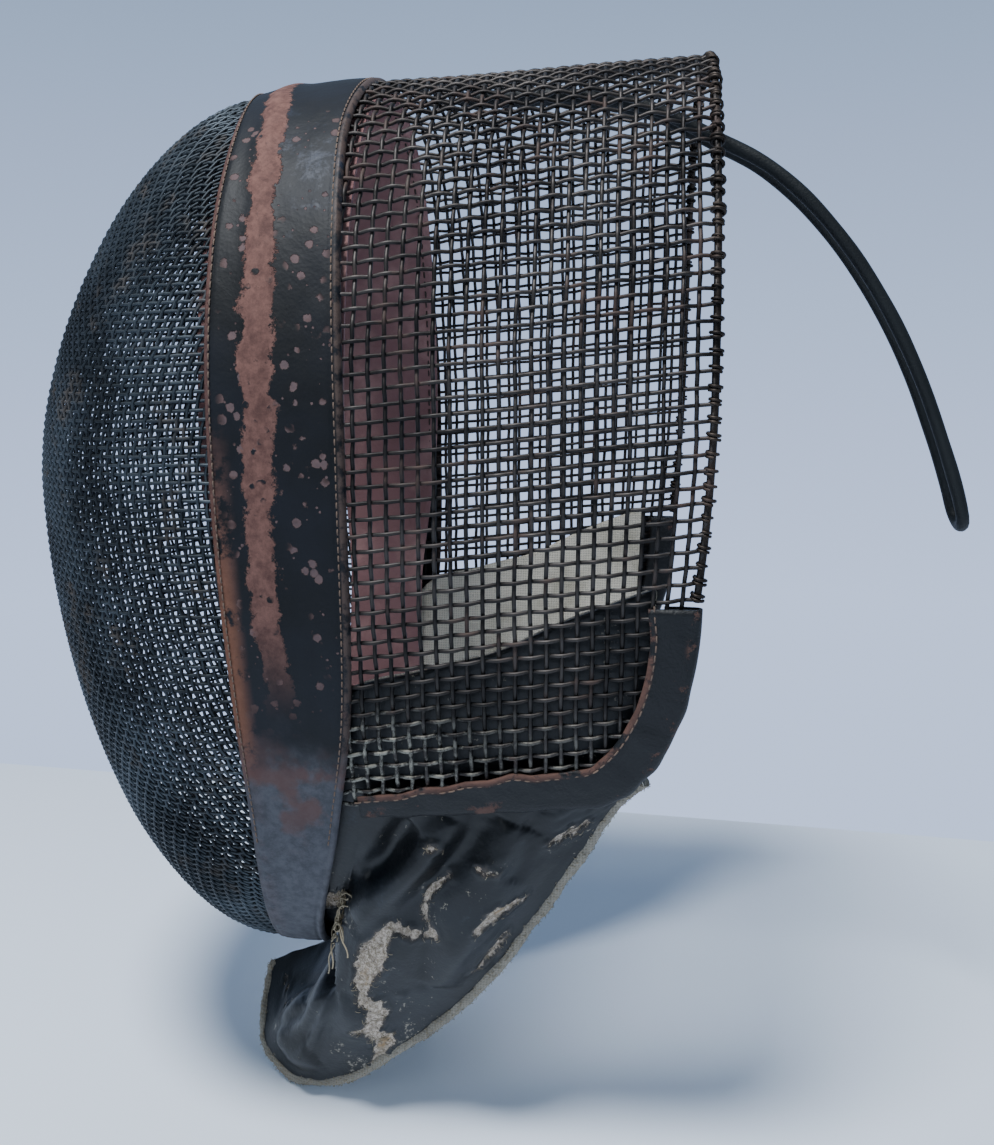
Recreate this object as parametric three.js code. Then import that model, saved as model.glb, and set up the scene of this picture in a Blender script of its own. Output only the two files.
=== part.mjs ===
// Wire fencing mask with a leather band and a hanging bib. Millimetres, +Z up.
// The face looks along -Y and the wearer's left is +X. The mask is mirrored about X = 0.
// The origin is under the crown and its spring, where the top of the wearer's head bears.
import * as THREE from 'three';
import { mergeVertices } from 'three/addons/utils/BufferGeometryUtils.js';

// ---- driving dimensions ----
const HALF_WIDTH = 97;            // outside of the mesh at its widest
const WIDEST_Z = -113;            // height of the widest level
const CROWN_Z = 5.7;              // crown line at the band's rear edge
const CHIN_Z = -300;              // underside of the mesh at the chin
const UPPER_POWER = 2.25;         // roundness of the arch over the head
const LOWER_POWER = 2.3;          // roundness of the jaw

const BAND_REAR_Y = -50;
const BAND_FRONT_Y = -92;         // where the face dome starts
const RIM_Y = 54.8;               // rear opening
const RIM_SWEEP = 3.6;            // the rim's lower ends lean forward by this
const RIM_SWEEP_Z = -91;          // from this height down
const SIDE_TAPER = 0.035;         // the walls close in towards the rear, per millimetre
const CROWN_RISE = 0.064;         // the crown line climbs towards the rear, per millimetre
const CROWN_DROP = 4.5;           // the crown line falls by this under the band

const DOME_DEPTH = 83;            // from BAND_FRONT_Y to the tip of the face
const DOME_TIP_Z = -125;
const BROW_POWER = 1.6;           // slanting forehead
const JAW_POWER = 1.92;           // round jaw

const MESH_WALL = 1.8;
const GAP = 0.3;
const JOIN_Y = -72;               // where the face mesh and the side mesh meet under the band
const RIM_WIRE_RADIUS = 1.8;

const BAND_WALL = 1.6;
const RIDGE_HEIGHT = 1.1;
const RIDGE_WIDTH = 10;
const FLANGE_STEPS = 4;

const BINDING_WALL = 1.3;
const BINDING_GAP = 0.6;
const EDGE_CLEARANCE = 1.2;       // between the mesh's cut edge and the fold of the binding
const BIB_LEATHER_WALL = 1.4;
const BIB_CANVAS_WALL = 1.1;
const BIB_LAYER_GAP = 1.95;
const BIB_TOP_INSET = MESH_WALL + BINDING_GAP + BINDING_WALL + 2 * GAP;
const BIB_EDGE_RADIUS = 2.3;

const TONGUE_WIDTH = 19;          // across both rods of the spring loop
const TONGUE_ROD_RADIUS = 2.3;

const RIGHT = -1;
const LEFT = 1;
const QUARTER_TURN = Math.PI / 2;
const DEGREE = Math.PI / 180;
const HALF_TURN_STEPS = 28;      // facets of the shell from the crown to the chin

const MATERIALS = {
  faceWire: { color: 0x2b3236, roughness: 0.55, metalness: 0.7 },
  sideWire: { color: 0x47423f, roughness: 0.5, metalness: 0.75 },
  rimWire: { color: 0x4a4644, roughness: 0.5, metalness: 0.75 },
  bandLeather: { color: 0x1e242b, roughness: 0.55, metalness: 0 },
  innerLeather: { color: 0x4b3634, roughness: 0.7, metalness: 0 },
  bindingLeather: { color: 0x1c2126, roughness: 0.5, metalness: 0 },
  bibLeather: { color: 0x1e262c, roughness: 0.42, metalness: 0 },
  canvas: { color: 0x78735f, roughness: 0.95, metalness: 0 },
  edging: { color: 0x827d68, roughness: 0.9, metalness: 0 },
  tongueCover: { color: 0x283030, roughness: 0.6, metalness: 0 },
};

// ---- the form of the mask ----

// Height of the crown line at depth y.
function crownAt(y) {
  const rise = CROWN_RISE * Math.max(0, y - BAND_REAR_Y);
  const forward = Math.max(0, BAND_REAR_Y - y) / (BAND_REAR_Y - BAND_FRONT_Y);
  return CROWN_Z + rise - CROWN_DROP * forward * forward;
}

function halfWidthAt(y) {
  return HALF_WIDTH - SIDE_TAPER * Math.max(0, y - BAND_REAR_Y);
}

// A point on the shell that runs back from the dome: angle 0 is the crown, a quarter turn is the
// left side and a half turn is the chin. out moves the point outwards.
function shellPoint(angle, y, out) {
  const sine = Math.sin(angle);
  const cosine = Math.cos(angle);
  const upper = cosine >= 0;
  const power = 2 / (upper ? UPPER_POWER : LOWER_POWER);
  const reach = upper ? crownAt(y) - WIDEST_Z + out : CHIN_Z - WIDEST_Z - out;
  const x = Math.sign(sine) * Math.pow(Math.abs(sine), power) * (halfWidthAt(y) + out);
  const z = WIDEST_Z + reach * Math.pow(Math.abs(cosine), power);
  return new THREE.Vector3(x, y, z);
}

// The angle at which the lower half of the shell has height z.
function angleAtHeight(z) {
  const share = Math.max(0, (WIDEST_Z - z) / (WIDEST_Z - CHIN_Z));
  return Math.PI - Math.acos(Math.pow(share, LOWER_POWER / 2));
}

// Reach and roundness of the dome's profile above or below its tip.
function domeProfile(above, out) {
  const end = above ? crownAt(BAND_FRONT_Y) + out : CHIN_Z - out;
  return { reach: end - DOME_TIP_Z, power: above ? BROW_POWER : JAW_POWER };
}

// A point on the face dome: row gives its height as shellPoint does, and sweep runs from 0 at the
// left side over the face to a half turn at the right side.
function domePoint(row, sweep, out) {
  const edge = shellPoint(row, BAND_FRONT_Y, out);
  const { reach, power } = domeProfile(edge.z > DOME_TIP_Z, out);
  const share = Math.min(1, (edge.z - DOME_TIP_Z) / reach);
  const depth = (DOME_DEPTH + out) * Math.pow(1 - Math.pow(share, power), 1 / power);
  return new THREE.Vector3(
    edge.x * Math.cos(sweep),
    BAND_FRONT_Y - depth * Math.sin(sweep),
    edge.z,
  );
}

// The outline of the dome at depth y, by the same angle as shellPoint.
function domeOutline(angle, y, out) {
  const ahead = (BAND_FRONT_Y - y) / (DOME_DEPTH + out);
  const { reach, power } = domeProfile(Math.abs(angle) < QUARTER_TURN, out);
  const end = DOME_TIP_Z + reach * Math.pow(1 - Math.pow(ahead, power), 1 / power);
  const full = DOME_TIP_Z + reach;
  const base = shellPoint(angle, BAND_FRONT_Y, out);
  const z = WIDEST_Z + (base.z - WIDEST_Z) * (end - WIDEST_Z) / (full - WIDEST_Z);
  const row = rowAtHeight(z, out);
  const tip = domePoint(row, QUARTER_TURN, out);
  const narrowing = Math.sqrt(Math.max(0, 1 - ((BAND_FRONT_Y - y) / (BAND_FRONT_Y - tip.y)) ** 2));
  const x = Math.sign(angle) * shellPoint(row, BAND_FRONT_Y, out).x * narrowing;
  return new THREE.Vector3(x, y, z);
}

// The angle at which the dome's base has height z.
function rowAtHeight(z, out) {
  const upper = z >= WIDEST_Z;
  const reach = upper ? crownAt(BAND_FRONT_Y) - WIDEST_Z + out : CHIN_Z - WIDEST_Z - out;
  const share = Math.min(1, (z - WIDEST_Z) / reach);
  const turn = Math.acos(Math.pow(share, (upper ? UPPER_POWER : LOWER_POWER) / 2));
  return upper ? turn : Math.PI - turn;
}

// ---- helpers that make closed solids ----

function closedGeometry(positions, indices) {
  const geometry = new THREE.BufferGeometry();
  geometry.setAttribute('position', new THREE.Float32BufferAttribute(positions, 3));
  geometry.setIndex(indices);
  const merged = mergeVertices(geometry, 1e-4);
  const kept = [];
  const index = merged.index.array;
  for (let i = 0; i < index.length; i += 3) {
    const [a, b, c] = [index[i], index[i + 1], index[i + 2]];
    if (a !== b && b !== c && c !== a) kept.push(a, b, c);
  }
  merged.setIndex(kept);
  merged.computeVertexNormals();
  return merged;
}

// Joins rings of points, all of one length, into a closed solid. Rings close on themselves; the
// row of rings either closes too (endless) or is capped at both ends.
function solidFromRings(rings, endless) {
  const count = rings[0].length;
  const positions = [];
  const indices = [];
  for (const ring of rings) {
    for (const point of ring) positions.push(point.x, point.y, point.z);
  }
  const last = endless ? rings.length : rings.length - 1;
  for (let i = 0; i < last; i += 1) {
    const next = (i + 1) % rings.length;
    for (let j = 0; j < count; j += 1) {
      const beside = (j + 1) % count;
      const [a, b] = [i * count + j, i * count + beside];
      const [c, d] = [next * count + j, next * count + beside];
      indices.push(a, c, b, b, c, d);
    }
  }
  if (!endless) {
    for (const face of THREE.ShapeUtils.triangulateShape(flatOutline(rings[0]), [])) {
      const end = (rings.length - 1) * count;
      indices.push(face[0], face[1], face[2]);
      indices.push(end + face[0], end + face[2], end + face[1]);
    }
  }
  return outward(closedGeometry(positions, indices));
}

// The ring's points in its own plane, for filling it with triangles.
function flatOutline(ring) {
  const normal = new THREE.Vector3();
  for (let j = 0; j < ring.length; j += 1) {
    normal.add(new THREE.Vector3().crossVectors(ring[j], ring[(j + 1) % ring.length]));
  }
  normal.normalize();
  const across = ring[1].clone().sub(ring[0]).normalize();
  const up = new THREE.Vector3().crossVectors(normal, across);
  return ring.map((point) => new THREE.Vector2(point.dot(across), point.dot(up)));
}

// Turns the faces round if they point inwards.
function outward(geometry) {
  const position = geometry.attributes.position;
  const index = geometry.index.array;
  const [a, b, c] = [new THREE.Vector3(), new THREE.Vector3(), new THREE.Vector3()];
  let volume = 0;
  for (let i = 0; i < index.length; i += 3) {
    a.fromBufferAttribute(position, index[i]);
    b.fromBufferAttribute(position, index[i + 1]);
    c.fromBufferAttribute(position, index[i + 2]);
    volume += a.dot(b.cross(c));
  }
  if (volume < 0) {
    const turned = [];
    for (let i = 0; i < index.length; i += 3) turned.push(index[i], index[i + 2], index[i + 1]);
    geometry.setIndex(turned);
    geometry.computeVertexNormals();
  }
  return geometry;
}

// A wall between two grids of the same size. Grids whose first and last rows fold onto themselves
// need no strip there.
function wallGeometry(outer, inner, foldedEnds = false) {
  const rows = outer.length;
  const columns = outer[0].length;
  const positions = [];
  const indices = [];
  for (const grid of [outer, inner]) {
    for (const row of grid) {
      for (const point of row) positions.push(point.x, point.y, point.z);
    }
  }
  const at = (side, i, j) => (side * rows + i) * columns + j;
  const quad = (a, b, c, d) => indices.push(a, b, c, b, d, c);
  const right = columns - 1;
  const bottom = rows - 1;
  for (let i = 0; i < bottom; i += 1) {
    for (let j = 0; j < right; j += 1) {
      quad(at(0, i, j), at(0, i, j + 1), at(0, i + 1, j), at(0, i + 1, j + 1));
      quad(at(1, i, j + 1), at(1, i, j), at(1, i + 1, j + 1), at(1, i + 1, j));
    }
    quad(at(1, i, 0), at(0, i, 0), at(1, i + 1, 0), at(0, i + 1, 0));
    quad(at(0, i, right), at(1, i, right), at(0, i + 1, right), at(1, i + 1, right));
  }
  for (let j = 0; j < right && !foldedEnds; j += 1) {
    quad(at(1, 0, j), at(1, 0, j + 1), at(0, 0, j), at(0, 0, j + 1));
    quad(at(0, bottom, j), at(0, bottom, j + 1), at(1, bottom, j), at(1, bottom, j + 1));
  }
  return outward(closedGeometry(positions, indices));
}

function steps(count, from, to) {
  return Array.from({ length: count + 1 }, (_, i) => from + (to - from) * i / count);
}

function addPart(group, name, geometry, finish) {
  const mesh = new THREE.Mesh(geometry, new THREE.MeshStandardMaterial(finish));
  mesh.name = name;
  group.add(mesh);
}

// ---- face dome ----

// One row of the face mesh runs from the join on the left side, over the face, to the join on the
// right side. At the crown and the chin the row folds onto the middle plane.
function faceRow(row, out) {
  const flange = steps(FLANGE_STEPS, JOIN_Y - GAP, BAND_FRONT_Y).slice(0, -1);
  const points = flange.map((y) => shellPoint(row, y, out));
  for (const sweep of steps(14, 0, Math.PI)) points.push(domePoint(row, sweep, out));
  for (const y of flange.reverse()) {
    const point = shellPoint(row, y, out);
    points.push(new THREE.Vector3(-point.x, point.y, point.z));
  }
  return points;
}

function frontMesh() {
  const grid = (out) => steps(HALF_TURN_STEPS, 0, Math.PI).map((row) => faceRow(row, out));
  return wallGeometry(grid(0), grid(-MESH_WALL), true);
}

// ---- side mesh and its rim ----

const CORNER = { startY: 18, endY: RIM_Y - 2.2, topZ: -155, height: 62 };
const EDGE_SLOPE = 0.085;
const RIM_END_ANGLE = angleAtHeight(CORNER.topZ);

// Height of the side wall's lower edge: nearly level, then a round corner up to the rim.
function lowerEdgeAt(y) {
  if (y <= CORNER.startY) {
    return CORNER.topZ - CORNER.height - EDGE_SLOPE * (CORNER.startY - y);
  }
  const share = Math.min(1, (y - CORNER.startY) / (CORNER.endY - CORNER.startY));
  return CORNER.topZ - CORNER.height * Math.sqrt(1 - share * share);
}

// Depth of the rear edge at height z.
function rearEdgeAt(z) {
  const below = Math.max(0, RIM_SWEEP_Z - z) / (RIM_SWEEP_Z - CORNER.topZ);
  return RIM_Y - RIM_SWEEP * Math.min(1, below) ** 2;
}

// Angles over the head from one end to the other, on the shell's own facets between the ends.
function archAngles(end) {
  const count = Math.floor(RIM_END_ANGLE / Math.PI * HALF_TURN_STEPS);
  const facets = steps(2 * count, -count, count).map((step) => step * Math.PI / HALF_TURN_STEPS);
  const inside = facets.filter((angle) => Math.abs(angle) <= RIM_END_ANGLE - 0.02);
  const skirt = [0.34, 0.67, 1].map((share) => RIM_END_ANGLE + (end - RIM_END_ANGLE) * share);
  return skirt.map((angle) => -angle).reverse().concat(inside, skirt);
}

// Moves a depth forward where the rear edge leans forward, ever less towards the band.
function sweptDepth(angle, y) {
  const z = shellPoint(angle, y, 0).z;
  const share = Math.max(0, y) / RIM_Y;
  return y + (rearEdgeAt(z) - RIM_Y) * share * share;
}

function sideMesh() {
  const depths = [JOIN_Y, -50, -22, 4, 18, 30, 40, 47, 51.5, CORNER.endY];
  const grid = (out) => depths.map((y) => archAngles(angleAtHeight(lowerEdgeAt(y)) + 1e-3)
    .map((angle) => shellPoint(angle, sweptDepth(angle, y), out)));
  return wallGeometry(grid(0), grid(-MESH_WALL));
}

function rimWire() {
  const end = RIM_END_ANGLE - 0.01;
  const centre = steps(48, -end, end).map((angle) => shellPoint(angle, sweptDepth(angle, RIM_Y), -MESH_WALL / 2));
  return tube(centre, RIM_WIRE_RADIUS, 8, new THREE.Vector3(0, 1, 0));
}

// A round tube along points. The section is set square to the path by the reference direction.
function tube(centre, radius, sides, reference) {
  const rings = centre.map((point, i) => {
    const before = centre[Math.max(0, i - 1)];
    const after = centre[Math.min(centre.length - 1, i + 1)];
    const along = after.clone().sub(before).normalize();
    const across = new THREE.Vector3().crossVectors(along, reference).normalize();
    const up = new THREE.Vector3().crossVectors(across, along);
    return steps(sides, 0, 2 * Math.PI).slice(0, -1).map((turn) => point.clone()
      .addScaledVector(across, radius * Math.cos(turn))
      .addScaledVector(up, radius * Math.sin(turn)));
  });
  return solidFromRings(rings, false);
}

// ---- leather band over the join, and the strip inside it ----

// Edges and ridge of the band round the shell, from the crown to the chin.
const BAND_EDGES = [
  { angle: 0, front: -95, ridge: -81, rear: -52 },
  { angle: 20, front: -92, ridge: -80, rear: -53 },
  { angle: 38, front: -90.5, ridge: -78.5, rear: -54 },
  { angle: 62, front: -91, ridge: -76.5, rear: -52 },
  { angle: 90, front: -90.5, ridge: -75.5, rear: -50 },
  { angle: 110, front: -88, ridge: -74, rear: -51 },
  { angle: 125, front: -87, ridge: -74, rear: -58 },
  { angle: 150, front: -90, ridge: -81, rear: -71 },
  { angle: 180, front: -93, ridge: -84, rear: -75 },
];
const RIDGE_FADE = { from: 95, to: 130 };

// Smooth value of one column of a table at a place between its rows.
function tableValue(table, key, column, place) {
  let i = 0;
  while (i + 2 < table.length && place > table[i + 1][key]) i += 1;
  const [b, c] = [table[i], table[i + 1]];
  const a = table[Math.max(0, i - 1)];
  const d = table[Math.min(table.length - 1, i + 2)];
  const span = c[key] - b[key];
  const share = (place - b[key]) / span;
  const slopeIn = a === b ? 0 : (c[column] - a[column]) / (c[key] - a[key]) * span;
  const slopeOut = d === c ? 0 : (d[column] - b[column]) / (d[key] - b[key]) * span;
  const [s2, s3] = [share * share, share * share * share];
  return (2 * s3 - 3 * s2 + 1) * b[column] + (s3 - 2 * s2 + share) * slopeIn
    + (3 * s2 - 2 * s3) * c[column] + (s3 - s2) * slopeOut;
}

function bandEdge(angle, side) {
  return tableValue(BAND_EDGES, 'angle', side, Math.abs(angle) / DEGREE);
}

// The band's front edge reaches a few millimetres over the dome.
function coverPoint(angle, y, out) {
  return y >= BAND_FRONT_Y ? shellPoint(angle, y, out) : domeOutline(angle, y, out);
}

function bandSection(angle) {
  const front = bandEdge(angle, 'front');
  const rear = bandEdge(angle, 'rear');
  const ridge = bandEdge(angle, 'ridge');
  const fade = THREE.MathUtils.smoothstep(Math.abs(angle) / DEGREE, RIDGE_FADE.from, RIDGE_FADE.to);
  const low = 1.3 * GAP;
  const high = low + BAND_WALL;
  const raised = high + RIDGE_HEIGHT * (1 - fade);
  const under = steps(6, front, rear).map((y) => [y, low]);
  const over = [
    [rear, high], [ridge + RIDGE_WIDTH / 2, high],
    [ridge + RIDGE_WIDTH / 4, raised], [ridge - RIDGE_WIDTH / 4, raised],
    [ridge - RIDGE_WIDTH / 2, high], [front, high],
  ];
  return under.concat(over).map(([y, out]) => coverPoint(angle, y, out));
}

function band() {
  const turns = steps(2 * HALF_TURN_STEPS, 0, 2 * Math.PI).slice(0, -1);
  return solidFromRings(turns.map((turn) => bandSection(signedAngle(turn))), true);
}

function signedAngle(turn) {
  return turn > Math.PI + 1e-9 ? turn - 2 * Math.PI : turn;
}

const INNER_BAND = { front: -88, rear: -57, wall: 1.5, highInset: 2.2, lowInset: 9.8 };
const LINING_BLEND = { from: 88, to: 112 };

// The strip lies on the mesh over the crown and on the lining lower down.
function innerBand() {
  const turns = steps(2 * HALF_TURN_STEPS, 0, 2 * Math.PI).slice(0, -1);
  const rings = turns.map(signedAngle).map((angle) => {
    const share = THREE.MathUtils.smoothstep(Math.abs(angle) / DEGREE, LINING_BLEND.from, LINING_BLEND.to);
    const inset = THREE.MathUtils.lerp(INNER_BAND.highInset, INNER_BAND.lowInset, share);
    const depths = steps(FLANGE_STEPS, INNER_BAND.rear, INNER_BAND.front);
    const face = (out) => depths.map((y) => shellPoint(angle, y, out));
    return face(-inset).concat(face(-inset - INNER_BAND.wall).reverse());
  });
  return solidFromRings(rings, true);
}

// ---- binding folded over each side wall's lower edge ----

const BINDING_START_Y = BAND_REAR_Y + 1.5;
const BINDING_WIDTH = { front: 2.5, middle: 9, rear: 12.5 };

// Places along the lower edge as depth and height, from the band to the top of the rear corner.
function bindingPath() {
  const level = steps(8, BINDING_START_Y, CORNER.startY).map((y) => ({ y, z: lowerEdgeAt(y) }));
  const corner = steps(10, 0, QUARTER_TURN).slice(1).map((turn) => ({
    y: CORNER.startY + (CORNER.endY - CORNER.startY) * Math.sin(turn),
    z: CORNER.topZ - CORNER.height * Math.cos(turn),
  }));
  return level.concat(corner);
}

function wallPoint(y, z, out, side) {
  const angle = angleAtHeight(z);
  const point = shellPoint(angle, sweptDepth(angle, y), out);
  return new THREE.Vector3(side * point.x, point.y, z);
}

function binding(side) {
  const path = bindingPath();
  const rings = path.map((place, i) => {
    const before = path[Math.max(0, i - 1)];
    const after = path[Math.min(path.length - 1, i + 1)];
    const length = Math.hypot(after.y - before.y, after.z - before.z);
    const inward = { y: -(after.z - before.z) / length, z: (after.y - before.y) / length };
    const share = i / (path.length - 1);
    const width = share < 0.3
      ? THREE.MathUtils.lerp(BINDING_WIDTH.front, BINDING_WIDTH.middle, share / 0.3)
      : THREE.MathUtils.lerp(BINDING_WIDTH.middle, BINDING_WIDTH.rear, (share - 0.3) / 0.7);
    const outer = BINDING_GAP;
    const inner = -MESH_WALL - BINDING_GAP;
    const fold = -EDGE_CLEARANCE;
    const section = [
      [width, outer], [width, outer + BINDING_WALL], [fold - BINDING_WALL, outer + BINDING_WALL],
      [fold - BINDING_WALL, inner - BINDING_WALL], [width, inner - BINDING_WALL], [width, inner],
      [fold, inner], [fold, outer],
    ];
    return section.map(([up, out]) => wallPoint(
      place.y + up * inward.y, place.z + up * inward.z, out, side));
  });
  return solidFromRings(rings, false);
}

// ---- bib ----

// Left half of the bib from the chin to its rear end. The sheet starts inside the shell at the top
// place, leaves it at the exit place, and hangs to the free edge; outX and outY push its middle out.
const BIB = [
  { row: 0, topAngle: 180, topY: -86, exitAngle: 180, exitY: -67, x: 0, y: -106, z: -323, outX: 0, outY: 10 },
  { row: 1, topAngle: 166, topY: -86, exitAngle: 166, exitY: -67, x: 20, y: -105, z: -344, outX: 6, outY: 4 },
  { row: 2, topAngle: 153, topY: -84, exitAngle: 153, exitY: -65, x: 33, y: -89, z: -353, outX: 8, outY: -3 },
  { row: 3, topAngle: 139, topY: -79, exitAngle: 141, exitY: -60, x: 42, y: -66, z: -345, outX: 8, outY: -4 },
  { row: 4, topAngle: 124, topY: -71, exitAngle: 130, exitY: -53, x: 50, y: -36, z: -320, outX: 7, outY: 0 },
  { row: 5, topAngle: 111, topY: -57, exitAngle: 123.3, exitY: -41, x: 57, y: -13, z: -294, outX: 6, outY: 2 },
  { row: 6, topAngle: 107.5, topY: -30, exitAngle: 122.4, exitY: -20, x: 62, y: 5, z: -267, outX: 4, outY: 1 },
  { row: 7, topAngle: 105.5, topY: -8, exitAngle: 121.8, exitY: -2, x: 67, y: 19, z: -243, outX: 2, outY: 0 },
  { row: 8, topAngle: 102.2, topY: 14, exitAngle: 121, exitY: 17, x: 72, y: 29, z: -225, outX: 1, outY: 0 },
  { row: 9, topAngle: 99.2, topY: 40, exitAngle: 118.5, exitY: 36, x: 77, y: 38, z: -214, outX: 0, outY: 0 },
];
const BIB_COLUMNS = 36;
const BIB_TOP_STEPS = 2;
const BIB_HANG_STEPS = 7;

// across runs from -1 at the right rear end to 1 at the left rear end; down runs from -1 at the top
// edge to 0 at the exit and 1 at the free edge.
function bibPoint(across, down) {
  const side = across < 0 ? RIGHT : LEFT;
  const row = Math.abs(across) * (BIB.length - 1);
  const value = (column) => tableValue(BIB, 'row', column, row);
  const exitAngle = value('exitAngle') * DEGREE;
  if (down <= 0) {
    const angle = THREE.MathUtils.lerp(exitAngle, value('topAngle') * DEGREE, -down);
    const y = THREE.MathUtils.lerp(value('exitY'), value('topY'), -down);
    const point = shellPoint(angle, y, -BIB_TOP_INSET);
    point.x *= side;
    return point;
  }
  const exit = shellPoint(exitAngle, value('exitY'), -BIB_TOP_INSET);
  const free = new THREE.Vector3(value('x'), value('y'), value('z'));
  const swell = (4 * down * (1 - down)) ** 2;
  const point = exit.lerp(free, down);
  point.x += value('outX') * swell;
  point.y += value('outY') * swell;
  point.x *= side;
  return point;
}

function bibNormal(across, down) {
  const [aside, below] = [0.04, 0.05];
  const sideways = bibPoint(across + aside, down).sub(bibPoint(across - aside, down));
  const downwards = bibPoint(across, down + below).sub(bibPoint(across, down - below));
  return downwards.cross(sideways).normalize();
}

// The sheet's wall between two distances inside its outer face.
function bibWall(depthOut, depthIn) {
  const downs = steps(BIB_TOP_STEPS, -1, 0).concat(steps(BIB_HANG_STEPS, 0, 1).slice(1));
  const ends = 0.995;
  const grid = (depth) => downs.map((down) => steps(BIB_COLUMNS, -ends, ends).map((across) => {
    const shortened = Math.min(down, 1 - bibEdgeShare(across));
    return bibPoint(across, shortened).addScaledVector(bibNormal(across, shortened), depth);
  }));
  return wallGeometry(grid(depthOut), grid(depthIn));
}

// Share of the hanging length that the rolled edge takes.
function bibEdgeShare(across) {
  const length = bibPoint(across, 0).distanceTo(bibPoint(across, 1));
  return (BIB_EDGE_RADIUS + BIB_LAYER_GAP) / Math.max(length, 9);
}

function bibEdge() {
  const centre = steps(BIB_COLUMNS, -0.99, 0.99).map((across) => bibPoint(across, 1)
    .addScaledVector(bibNormal(across, 1), -(BIB_LEATHER_WALL + BIB_CANVAS_WALL + GAP) / 2));
  return tube(centre, BIB_EDGE_RADIUS, 8, new THREE.Vector3(0, 0.3, 1));
}

// ---- head spring ----

// Middle line of the spring in the plane X = 0, from inside the crown to its tip.
const TONGUE_ROUTE = [
  { y: -28, z: 1.8 }, { y: 8, z: 2.4 }, { y: 36, z: -2 }, { y: 60, z: -13 }, { y: 74, z: -20 },
  { y: 86, z: -29 }, { y: 97, z: -40 }, { y: 109, z: -55 }, { y: 121, z: -74 }, { y: 131, z: -94 },
  { y: 139, z: -114 }, { y: 145, z: -131 }, { y: 148, z: -142 },
];

// Both rods lie side by side: one goes out, turns round at the tip, and comes back.
function tongue() {
  const middle = new THREE.CatmullRomCurve3(
    TONGUE_ROUTE.map(({ y, z }) => new THREE.Vector3(0, y, z)), false, 'centripetal');
  const spread = TONGUE_WIDTH / 2 - TONGUE_ROD_RADIUS;
  const out = steps(20, 0, 1).map((share) => {
    const point = middle.getPointAt(share * (1 - spread / middle.getLength()));
    const flare = THREE.MathUtils.smoothstep(share, 0.1, 0.55);
    return point.setX(THREE.MathUtils.lerp(spread * 0.45, spread, flare));
  });
  const base = middle.getPointAt(1 - spread / middle.getLength());
  const ahead = middle.getTangentAt(1);
  const turn = steps(6, 0, Math.PI).slice(1, -1).map((angle) => base.clone()
    .addScaledVector(ahead, spread * Math.sin(angle)).setX(spread * Math.cos(angle)));
  const back = out.map((point) => point.clone().setX(-point.x)).reverse();
  const route = out.concat(turn, back);
  return tube(route, TONGUE_ROD_RADIUS, 8, new THREE.Vector3(0, 0.45, 0.9));
}

// ---- the mask ----

function fencingMask() {
  const mask = new THREE.Group();
  const leatherIn = -BIB_LEATHER_WALL;
  const canvasOut = leatherIn - BIB_LAYER_GAP;
  addPart(mask, 'front_mesh', frontMesh(), MATERIALS.faceWire);
  addPart(mask, 'side_mesh', sideMesh(), MATERIALS.sideWire);
  addPart(mask, 'rim_wire', rimWire(), MATERIALS.rimWire);
  addPart(mask, 'band', band(), MATERIALS.bandLeather);
  addPart(mask, 'inner_band', innerBand(), MATERIALS.innerLeather);
  addPart(mask, 'binding_left', binding(LEFT), MATERIALS.bindingLeather);
  addPart(mask, 'binding_right', binding(RIGHT), MATERIALS.bindingLeather);
  addPart(mask, 'bib_leather', bibWall(0, leatherIn), MATERIALS.bibLeather);
  addPart(mask, 'bib_lining', bibWall(canvasOut, canvasOut - BIB_CANVAS_WALL), MATERIALS.canvas);
  addPart(mask, 'bib_edge', bibEdge(), MATERIALS.edging);
  addPart(mask, 'tongue', tongue(), MATERIALS.tongueCover);
  return mask;
}

export default fencingMask();
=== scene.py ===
"""The looks of the wire fencing mask: woven wire, worn leather, canvas and the head spring."""
import math

import bpy
import numpy as np
from mathutils import Matrix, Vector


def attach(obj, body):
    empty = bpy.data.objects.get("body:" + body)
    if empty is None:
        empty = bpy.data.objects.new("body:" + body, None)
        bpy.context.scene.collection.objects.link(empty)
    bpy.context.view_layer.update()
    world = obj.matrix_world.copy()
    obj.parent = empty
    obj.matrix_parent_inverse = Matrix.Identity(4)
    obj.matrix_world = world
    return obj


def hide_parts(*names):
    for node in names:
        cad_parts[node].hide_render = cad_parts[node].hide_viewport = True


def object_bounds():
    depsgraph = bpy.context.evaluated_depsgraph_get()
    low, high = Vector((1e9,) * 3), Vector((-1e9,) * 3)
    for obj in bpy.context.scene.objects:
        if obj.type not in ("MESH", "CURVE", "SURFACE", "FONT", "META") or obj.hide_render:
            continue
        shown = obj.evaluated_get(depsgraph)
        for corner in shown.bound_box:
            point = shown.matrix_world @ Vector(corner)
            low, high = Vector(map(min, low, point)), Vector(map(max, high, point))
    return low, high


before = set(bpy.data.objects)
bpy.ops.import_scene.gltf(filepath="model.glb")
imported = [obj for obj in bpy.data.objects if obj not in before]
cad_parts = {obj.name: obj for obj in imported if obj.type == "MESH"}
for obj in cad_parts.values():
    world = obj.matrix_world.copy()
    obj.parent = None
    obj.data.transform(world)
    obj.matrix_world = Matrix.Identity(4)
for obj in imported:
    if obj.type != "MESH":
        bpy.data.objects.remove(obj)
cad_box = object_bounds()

MM = 0.001
LEFT, RIGHT = 1, -1

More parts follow.
